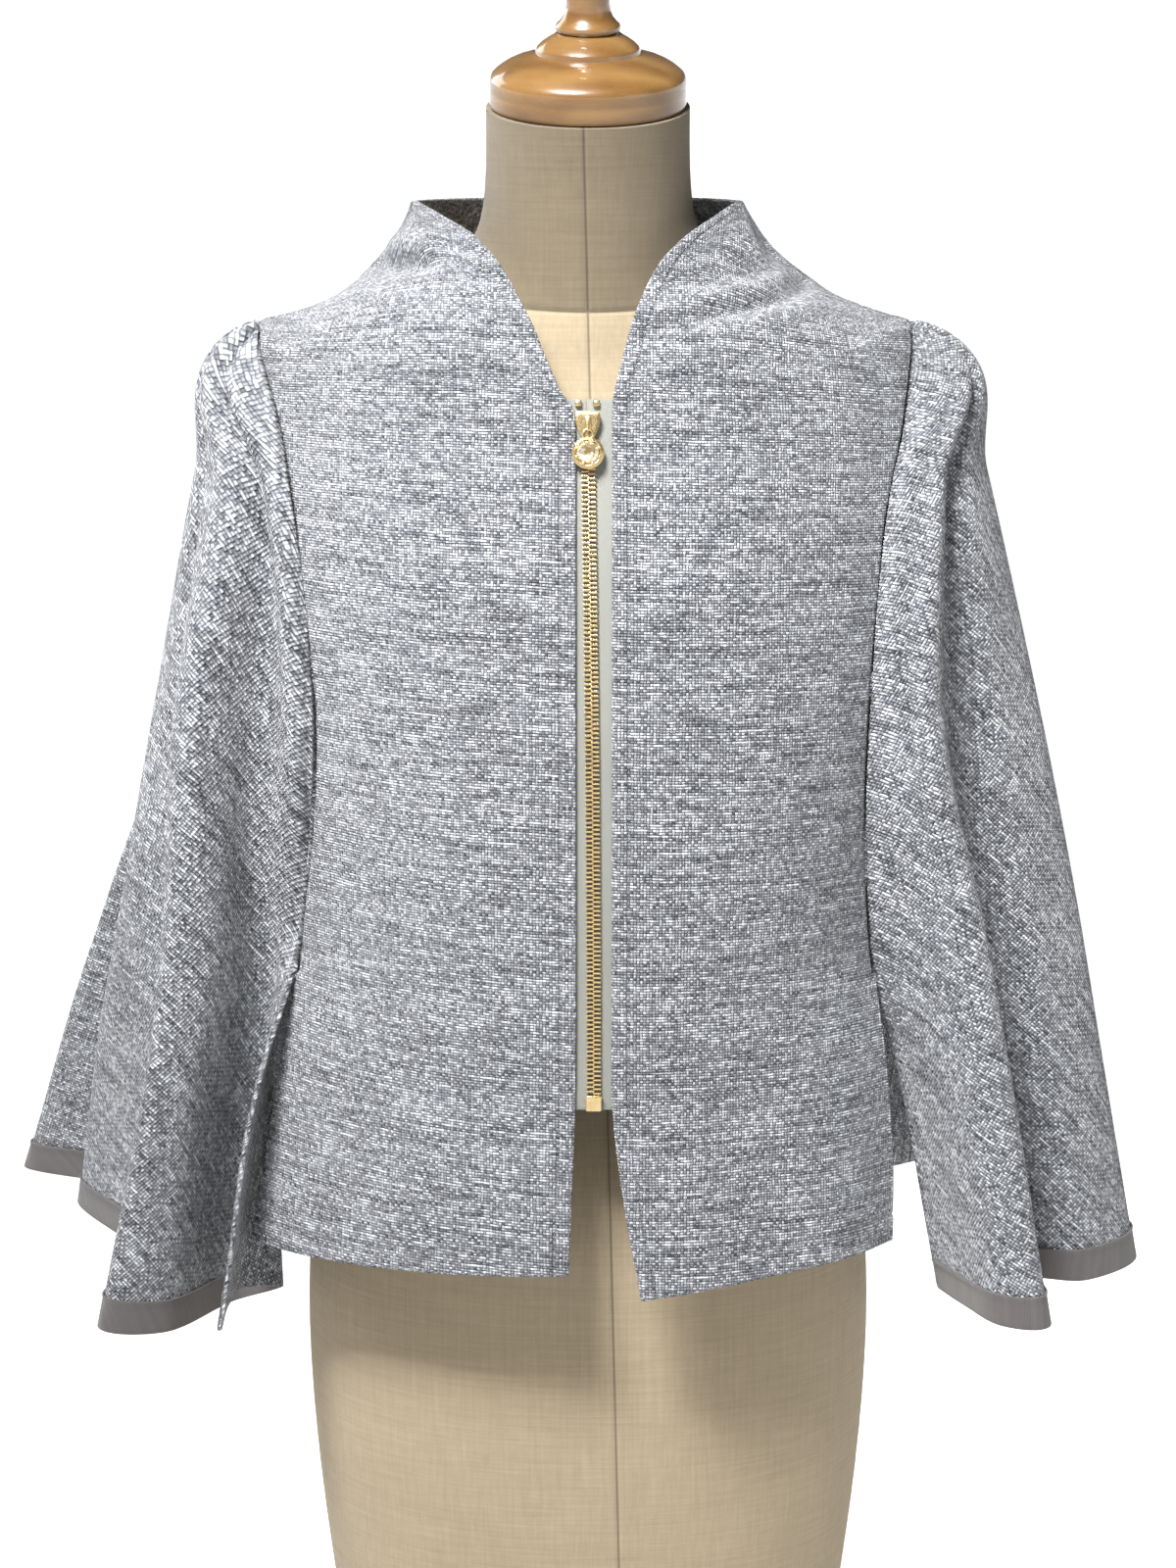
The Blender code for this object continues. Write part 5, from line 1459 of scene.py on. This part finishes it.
def deselect():
    """Leaves edit mode, with nothing selected."""
    if bpy.context.object and bpy.context.object.mode != "OBJECT":
        bpy.ops.object.mode_set(mode="OBJECT")
    bpy.ops.object.select_all(action="DESELECT")


def edit_all():
    """Enters edit mode, with the whole mesh selected."""
    bpy.ops.object.mode_set(mode="EDIT")
    bpy.ops.mesh.select_all(action="SELECT")


def applied(name, finish, place=None, angle=40):
    """The active object with its place in its mesh, shaded smooth, with its material."""
    made = bpy.context.object
    if made.mode != "OBJECT":
        bpy.ops.object.mode_set(mode="OBJECT")
    if place is not None:
        made.matrix_world = place @ made.matrix_world
    bpy.context.view_layer.update()
    bpy.ops.object.transform_apply(location=True, rotation=True, scale=True)
    bpy.ops.object.shade_smooth_by_angle(angle=math.radians(angle))
    made.name = made.data.name = name
    made.data.materials.clear()
    made.data.materials.append(finish)
    return made


def block(width, deep, tall, low=(0, 0, 0), round_off=0.0, steps=2):
    """A block that stands on the middle of its foot, with rounded edges."""
    deselect()
    centre = (low[0], low[1], low[2] + tall / 2)
    bpy.ops.mesh.primitive_cube_add(size=1, location=centre, scale=(width, deep, tall))
    bpy.ops.object.transform_apply(location=True, rotation=True, scale=True)
    if round_off:
        edit_all()
        bpy.ops.mesh.bevel(offset=round_off, segments=steps, affect="EDGES")
        bpy.ops.object.mode_set(mode="OBJECT")
    return bpy.context.object


def joined(pieces):
    """Several objects made one, the first of them."""
    deselect()
    for piece in pieces:
        piece.select_set(True)
    bpy.context.view_layer.objects.active = pieces[0]
    bpy.ops.object.join()
    return bpy.context.object


def copies(model, places):
    """A copy of a modelled piece at each place, joined into one object; the model itself goes."""
    made = []
    for place in places:
        mesh = model.data.copy()
        mesh.transform(place)
        copy = bpy.data.objects.new(model.name, mesh)
        bpy.context.scene.collection.objects.link(copy)
        made.append(copy)
    bpy.data.objects.remove(model, do_unlink=True)
    return joined(made)


def drawn_out(sides, profile, twist=None):
    """The active mesh: a disc that is extruded upwards through (radius, height) pairs, and twisted at each step."""
    deselect()
    radius, height = profile[0]
    bpy.ops.mesh.primitive_circle_add(vertices=sides, radius=radius, fill_type="NGON", location=(0, 0, height))
    edit_all()
    for next_radius, next_height in profile[1:]:
        bpy.ops.mesh.extrude_region_move(TRANSFORM_OT_translate={"value": (0, 0, next_height - height)})
        factor = next_radius / radius
        bpy.ops.transform.resize(value=(factor, factor, 1))
        if twist:
            bpy.ops.transform.rotate(value=twist, orient_axis="Z", center_override=(0, 0, 0))
        radius, height = next_radius, next_height
    bpy.ops.mesh.select_all(action="SELECT")


def turned(name, profile, place, finish):
    """A piece turned from a profile of (radius, height) pairs."""
    drawn_out(bpy.context.scene.bolero_form.turned_sides, profile)
    bpy.ops.mesh.normals_make_consistent(inside=False)
    return applied(name, finish, place)


def set_here():
    """A primitive that has just been added, with its place in its mesh."""
    bpy.ops.object.transform_apply(location=True, rotation=True, scale=True)
    return bpy.context.object


def ring(radius, wire, place, steps=40, sides=12):
    """A closed ring of round wire that lies in the plane XZ of its place."""
    deselect()
    bpy.ops.mesh.primitive_torus_add(
        major_radius=radius, minor_radius=wire, major_segments=steps, minor_segments=sides,
        rotation=(math.pi / 2, 0, 0),
    )
    bpy.ops.object.transform_apply(location=True, rotation=True, scale=True)
    made = bpy.context.object
    made.data.transform(place)
    return made


CHAIN_BACK = 0.0011
CHAIN_THICK = 0.0021
# How far the teeth stay from the zip's foot and the slider's, and a tooth's height as a share of the pitch
TEETH_START = 0.0095
TEETH_END = 0.0012
TOOTH_SHARE = 0.46


class BOLERO_OT_zip_teeth(bpy.types.Operator):
    """Makes the chain of metal teeth, which come from the two tapes in turn"""

    bl_idname = "bolero.zip_teeth"
    bl_label = "Zip teeth"

    def execute(self, context):
        pitch = context.scene.bolero_trim.tooth_pitch
        tall = pitch * TOOTH_SHARE
        low, high = ZIP_FOOT + TEETH_START, SLIDER_FOOT - TEETH_END
        bar = block(0.0034, 0.0017, tall, (0.0020, 0, -tall / 2), tall * 0.22)
        head = block(0.0016, 0.0021, tall, (0.0004, 0, -tall / 2), tall * 0.26)
        foot = block(0.0014, 0.0021, tall, (0.0031, 0, -tall / 2), tall * 0.26)
        tooth = joined([bar, head, foot])
        places = []
        for number in range(int((high - low) / (pitch / 2))):
            height = low + pitch / 2 * number
            mirror = Matrix.Rotation(math.pi, 4, "Z") if number % 2 else Matrix()
            centre = Matrix.Translation((0, CHAIN_BACK - CHAIN_THICK / 2, 0))
            places.append(zip_frame(height) @ centre @ mirror)
        copies(tooth, places)
        made = applied("zip_chain_teeth", gold(), angle=35)
        settle(made, "zip_chain")
        return {"FINISHED"}


class BOLERO_OT_zip_ends(bpy.types.Operator):
    """Makes the box at the zip's foot and the two stops at its top"""

    bl_idname = "bolero.zip_ends"
    bl_label = "Zip box and stops"

    def execute(self, context):
        box = block(0.0082, 0.0034, 0.0085, (0, CHAIN_BACK - 0.0017, 0), 0.0007, 3)
        lip = block(0.0088, 0.0038, 0.0012, (0, CHAIN_BACK - 0.0017, 0.0070), 0.0004, 2)
        pin = block(0.0012, 0.0009, 0.0050, (-0.0022, CHAIN_BACK - 0.0035, 0.0010), 0.0003, 2)
        joined([box, lip, pin])
        settle(applied("zip_box_metal", gold(), zip_frame(ZIP_FOOT)), "zip_box")
        for side, sign in SIDES:
            block(0.0034, 0.0024, 0.0035, (sign * 0.0047, CHAIN_BACK - 0.0011, 0), 0.0007, 3)
            made = applied(f"zip_stop_{side}_metal", gold(), zip_frame(ZIP_TOP - 0.0035))
            settle(made, f"zip_stop_{side}")
        return {"FINISHED"}


# The slider's plates, their width at the foot and how much wider they are at the shoulders, as shares of the middle
PLATE_WIDE = 0.0100
PLATE_THICK = 0.0012
PLATE_FOOT = 0.56
PLATE_SHOULDERS = 0.74
SLIDER_THICK = 0.0040
SLIDER_FACE = CHAIN_BACK - SLIDER_THICK
BAIL_HEIGHT = 0.0052
BAIL_PROUD = 0.0009
HINGE = Vector((0, SLIDER_FACE - BAIL_PROUD, BAIL_HEIGHT))
RING_RADIUS = 0.0026
CHARM_RADIUS = 0.0082
CHARM_DEEP = 0.0073
CHARM_SEAT = 0.0018
CHARM_OVERLAP = 0.0010
CHARM_WIRE = 0.0005


class BOLERO_OT_slider(bpy.types.Operator):
    """Makes the slider with its shoulders, crown and bail"""

    bl_idname = "bolero.slider"
    bl_label = "Slider"

    def execute(self, context):
        place = zip_frame(SLIDER_FOOT)
        wings = []
        for depth in (SLIDER_FACE + PLATE_THICK / 2, CHAIN_BACK - PLATE_THICK / 2):
            plate = block(PLATE_WIDE, PLATE_THICK, SLIDER_TALL, (0, depth, 0))
            edit_all()
            bpy.ops.mesh.subdivide(number_cuts=5)
            bpy.ops.object.mode_set(mode="OBJECT")
            for vertex in plate.data.vertices:
                share = min(1, max(0, vertex.co.z / SLIDER_TALL))
                vertex.co.x *= PLATE_FOOT + PLATE_SHOULDERS * math.sin(math.pi * share * 0.66) ** 1.4
            edit_all()
            bpy.ops.mesh.bevel(offset=0.00022, segments=2, affect="EDGES", clamp_overlap=True)
            bpy.ops.object.mode_set(mode="OBJECT")
            wings.append(plate)
        post = block(0.0024, 0.0026, 0.0040, (0, (SLIDER_FACE + CHAIN_BACK) / 2, SLIDER_TALL - 0.0056), 0.0004)
        crown = block(0.0032, 0.0014, 0.0075, (0, SLIDER_FACE - 0.0004, 0.0048), 0.0006, 3)
        bail = ring(0.0015, 0.00045, Matrix.Translation(HINGE) @ Matrix.Rotation(math.pi / 2, 4, "Z"), 24, 8)
        joined([*wings, post, crown, bail])
        settle(applied("zip_slider_metal", gold(), place, 35), "zip_slider")
        return {"FINISHED"}


# The setting's rings, as radius, wire and how far they stand out of the seat, then its cup and its claws
SETTING_RINGS = ((0.0070, 0.0009, 0.0030), (0.0078, 0.0007, 0.0016), (0.0062, 0.0008, 0.0006))
CUP_RADIUS = 0.0068
CUP_DEEP = 0.0030
CUP_PROUD = 0.0016
CLAWS = 8
CLAW_RADIUS = 0.0010
CLAWS_OUT = 0.0064
CLAWS_PROUD = 0.0042
# The crystal's facets, as radius and how far they stand out of the seat
FACETS = ((0.0058, 0.0026), (0.0062, 0.0034), (0.0055, 0.0048), (0.0040, 0.0060), (0.0022, CHARM_DEEP))


class BOLERO_OT_charm(bpy.types.Operator):
    """Makes the ring and the round crystal that hangs from the slider in its setting"""

    bl_idname = "bolero.charm"
    bl_label = "Charm"

    def execute(self, context):
        place = zip_frame(SLIDER_FOOT)
        heart = HINGE - Vector((0, 0, 2 * RING_RADIUS + CHARM_RADIUS - CHARM_OVERLAP))
        seat = Vector((heart.x, heart.y + CHARM_SEAT, heart.z))
        parts = [ring(RING_RADIUS, CHARM_WIRE, Matrix.Translation(HINGE - Vector((0, 0, RING_RADIUS))), 32, 10)]
        for radius, wire, proud in SETTING_RINGS:
            parts.append(ring(radius, wire, Matrix.Translation(seat - Vector((0, proud, 0))), 40, 10))
        deselect()
        bpy.ops.mesh.primitive_cylinder_add(
            vertices=40, radius=CUP_RADIUS, depth=CUP_DEEP, rotation=(math.pi / 2, 0, 0),
            location=seat - Vector((0, CUP_PROUD, 0)),
        )
        parts.append(set_here())
        for number in range(CLAWS):
            turn = 2 * math.pi * (number + 0.5) / CLAWS
            claw = seat + Vector((CLAWS_OUT * math.cos(turn), -CLAWS_PROUD, CLAWS_OUT * math.sin(turn)))
            deselect()
            bpy.ops.mesh.primitive_uv_sphere_add(segments=12, ring_count=8, radius=CLAW_RADIUS, location=claw)
            parts.append(set_here())
        joined(parts)
        settle(applied("charm_setting", gold(), place, 40), "zip_pull", SWINGING)
        low = FACETS[0][1]
        drawn_out(8, [(radius, proud - low) for radius, proud in FACETS], math.pi / 8)
        bpy.ops.mesh.quads_convert_to_tris()
        bpy.ops.mesh.normals_make_consistent(inside=False)
        stand = Matrix.Translation(seat - Vector((0, low, 0))) @ Matrix.Rotation(math.pi / 2, 4, "X")
        settle(applied("charm_crystal", crystal(), place @ stand, 5), None, SWINGING)
        return {"FINISHED"}


# ---- The form and its stand


# Vertices closer than this are one, and edges sharper than this stay sharp
WELD = 0.00002
SHARP = math.radians(55)


class BOLERO_OT_form(bpy.types.Operator):
    """Makes the padded body under its linen cover, with its seams"""

    bl_idname = "bolero.form"
    bl_label = "Form"

    def execute(self, context):
        deselect()
        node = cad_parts["form_body"]
        made = bpy.data.objects.new("form_linen", node.data.copy())
        context.scene.collection.objects.link(made)
        made.select_set(True)
        context.view_layer.objects.active = made
        edit_all()
        bpy.ops.mesh.remove_doubles(threshold=WELD)
        bpy.ops.mesh.tris_convert_to_quads(face_threshold=math.radians(60), shape_threshold=math.radians(80))
        bpy.ops.mesh.customdata_custom_splitnormals_clear()
        bpy.ops.object.mode_set(mode="OBJECT")
        mesh = bmesh.new()
        mesh.from_mesh(made.data)
        crease = mesh.edges.layers.float.get("crease_edge") or mesh.edges.layers.float.new("crease_edge")
        for edge in mesh.edges:
            if len(edge.link_faces) == 2 and edge.calc_face_angle(0) > SHARP:
                edge[crease] = 1
        mesh.to_mesh(made.data)
        mesh.free()
        finer = made.modifiers.new("finer", "SUBSURF")
        finer.levels = finer.render_levels = 2
        bpy.ops.object.modifier_apply(modifier="finer")
        settle(applied("form_linen", linen(), angle=50), "form_body")
        return {"FINISHED"}


# The middle of the neck's cut, how the cut leans, and the gap above it
FORM_TOP = (0, -0.016, 1.0790)
NECK_TILT = math.atan2(0.0106, 0.0545)
CUT_GAP = 0.0003
CAP_CURVE = (
    (0.0505, 0.0000), (0.0522, 0.0006), (0.0528, 0.0020), (0.0528, 0.0080), (0.0526, 0.0090), (0.0528, 0.0100),
    (0.0528, 0.0142), (0.0526, 0.0156), (0.0519, 0.0172), (0.0508, 0.0186), (0.0490, 0.0200), (0.0460, 0.0222),
    (0.0420, 0.0243), (0.0370, 0.0262), (0.0315, 0.0276), (0.0290, 0.0282), (0.0280, 0.0288), (0.0277, 0.0300),
    (0.0277, 0.0312), (0.0270, 0.0322), (0.0245, 0.0344), (0.0215, 0.0364), (0.0185, 0.0382), (0.0165, 0.0395),
)
FINIAL_CURVE = (
    (0.0155, 0.0000), (0.0168, 0.0006), (0.0174, 0.0016), (0.0174, 0.0032), (0.0168, 0.0044), (0.0150, 0.0060),
    (0.0134, 0.0082), (0.0122, 0.0115), (0.0116, 0.0150), (0.0117, 0.0185), (0.0123, 0.0220), (0.0138, 0.0260),
    (0.0158, 0.0300), (0.0172, 0.0340), (0.0178, 0.0385), (0.0174, 0.0425), (0.0162, 0.0460), (0.0142, 0.0495),
    (0.0115, 0.0522), (0.0080, 0.0538), (0.0040, 0.0545),
)


class BOLERO_OT_wood(bpy.types.Operator):
    """Turns the neck cap and the finial"""

    bl_idname = "bolero.wood"
    bl_label = "Neck cap and finial"

    def execute(self, context):
        seat = Matrix.Translation(FORM_TOP) @ Matrix.Rotation(NECK_TILT, 4, "X")
        pieces = (("neck_cap", CAP_CURVE, CUT_GAP), ("finial", FINIAL_CURVE, CAP_CURVE[-1][1] + 2 * CUT_GAP))
        for node, curve, height in pieces:
            made = turned(f"{node}_wood", curve, seat @ Matrix.Translation((0, 0, height)), varnished_wood())
            settle(made, node)
        return {"FINISHED"}


PLATE_CURVE = (
    (0.1490, 0.0000), (0.1500, 0.0010), (0.1500, 0.0080), (0.1492, 0.0100), (0.1475, 0.0114), (0.1455, 0.0120),
    (0.0240, 0.0120), (0.0222, 0.0128), (0.0214, 0.0150), (0.0200, 0.0205), (0.0190, 0.0220), (0.0080, 0.0220),
)
POLE_CURVE = (
    (0.0110, 0.0223), (0.0125, 0.0226), (0.0125, 0.2067), (0.0135, 0.2090), (0.0160, 0.2150), (0.0180, 0.2187),
    (0.0350, 0.2187), (0.0360, 0.2195), (0.0360, 0.2240), (0.0352, 0.2247), (0.0080, 0.2247),
)

class BOLERO_OT_stand(bpy.types.Operator):
    """Turns the pole with its flange, and the round plate"""

    bl_idname = "bolero.stand"
    bl_label = "Stand"

    def execute(self, context):
        given = context.scene.bolero_form
        paint = metal_finish("black paint", given.paint, (0.32, 0.52), 0.0)
        steel = metal_finish("brushed steel", given.steel, (0.224, 0.364), stretch=(1, 1, 0.05))
        settle(turned("plate_painted", PLATE_CURVE, Matrix(), paint), "stand_plate")
        settle(turned("pole_steel", POLE_CURVE, Matrix(), steel), "stand_pole")
        return {"FINISHED"}


# ---- The stage


FLOOR_GAP = 0.0005
WALL_TALL = 5.0
STUDIO_SIDES = 96
SENSOR_WIDTH = 36
# What the camera looks at
TARGET = (0, 0, 0.705)


def area_light(name, place, aim, size, power, spread=180):
    """A soft rectangular light that looks at its aim."""
    light = bpy.data.lights.new(name, "AREA")
    light.spread = math.radians(spread)
    light.shape = "RECTANGLE"
    light.size, light.size_y = size
    light.energy = power
    made = bpy.data.objects.new(name, light)
    made.location = place
    made.rotation_euler = (Vector(aim) - Vector(place)).to_track_quat("-Z", "Y").to_euler()
    bpy.context.scene.collection.objects.link(made)


class BOLERO_OT_stage(bpy.types.Operator):
    """Makes the pale floor and round wall, the soft lights and the camera"""

    bl_idname = "bolero.stage"
    bl_label = "Stage"

    def execute(self, context):
        scene = context.scene
        given = scene.bolero_stage
        deselect()
        bpy.ops.mesh.primitive_circle_add(
            vertices=STUDIO_SIDES, radius=given.studio, fill_type="NGON", location=(0, 0, -FLOOR_GAP)
        )
        applied("studio_floor", glowing("studio paper", given.floor, given.floor_glow))
        deselect()
        bpy.ops.mesh.primitive_cylinder_add(
            vertices=STUDIO_SIDES, radius=given.studio, depth=WALL_TALL, end_fill_type="NOTHING",
            location=(0, 0, WALL_TALL / 2),
        )
        applied("studio_wall", glowing("lit wall", given.floor, given.backdrop))
        world = bpy.data.worlds.new("soft sky")
        world.use_nodes = True
        sky = world.node_tree.nodes["Background"].inputs
        sky["Color"].default_value = (1, 1, 1, 1)
        sky["Strength"].default_value = given.sky
        scene.world = world
        area_light("key", (-0.65, -1.30, 2.85), (-0.02, -0.1, 0.95), (0.9, 0.7), given.key, 30)
        area_light("fill", (2.2, -1.4, 1.4), (0, 0, 0.7), (1.2, 1.6), given.fill)
        area_light("rim", (-1.6, 1.6, 1.9), (0, 0, 0.8), (1.2, 1.2), given.rim)
        scene.view_settings.view_transform = "Standard"
        camera = bpy.data.cameras.new("camera")
        camera.lens = given.lens
        camera.sensor_width = SENSOR_WIDTH
        camera.sensor_fit = "AUTO"
        made = bpy.data.objects.new("camera", camera)
        back = Vector((0, -math.cos(given.pitch), math.sin(given.pitch)))
        made.location = Vector(TARGET) + back * given.distance
        made.rotation_euler = (math.pi / 2 - given.pitch, 0, 0)
        scene.collection.objects.link(made)
        scene.camera = made
        return {"FINISHED"}


class BOLERO_PT_panel(bpy.types.Panel):
    bl_idname = "BOLERO_PT_panel"
    bl_label = "Cape-sleeved bolero"
    bl_space_type = "VIEW_3D"
    bl_region_type = "UI"
    bl_category = "Bolero"

    def draw(self, context):
        layout = self.layout
        for name in SETTINGS:
            given = getattr(context.scene, name)
            box = layout.box()
            for key in given.__annotations__:
                box.prop(given, key)
        for operator in OPERATORS:
            layout.operator(operator.bl_idname)


SETTINGS = {
    "bolero_tweed": TweedSettings,
    "bolero_trim": TrimSettings,
    "bolero_form": FormSettings,
    "bolero_stage": StageSettings,
}
OPERATORS = (
    BOLERO_OT_stage,
    BOLERO_OT_fronts,
    BOLERO_OT_back,
    BOLERO_OT_capes,
    BOLERO_OT_stitching,
    BOLERO_OT_bindings,
    BOLERO_OT_zip_tapes,
    BOLERO_OT_zip_teeth,
    BOLERO_OT_zip_ends,
    BOLERO_OT_slider,
    BOLERO_OT_charm,
    BOLERO_OT_form,
    BOLERO_OT_wood,
    BOLERO_OT_stand,
)
CLASSES = (*SETTINGS.values(), *OPERATORS, BOLERO_PT_panel)


def register():
    for each in CLASSES:
        bpy.utils.register_class(each)
    for name, kind in SETTINGS.items():
        setattr(bpy.types.Scene, name, bpy.props.PointerProperty(type=kind))


def unregister():
    for name in SETTINGS:
        delattr(bpy.types.Scene, name)
    for each in reversed(CLASSES):
        bpy.utils.unregister_class(each)


def main():
    register()
    for operator in OPERATORS:
        family, name = operator.bl_idname.split(".")
        getattr(getattr(bpy.ops, family), name)()


if __name__ == "__main__":
    main()
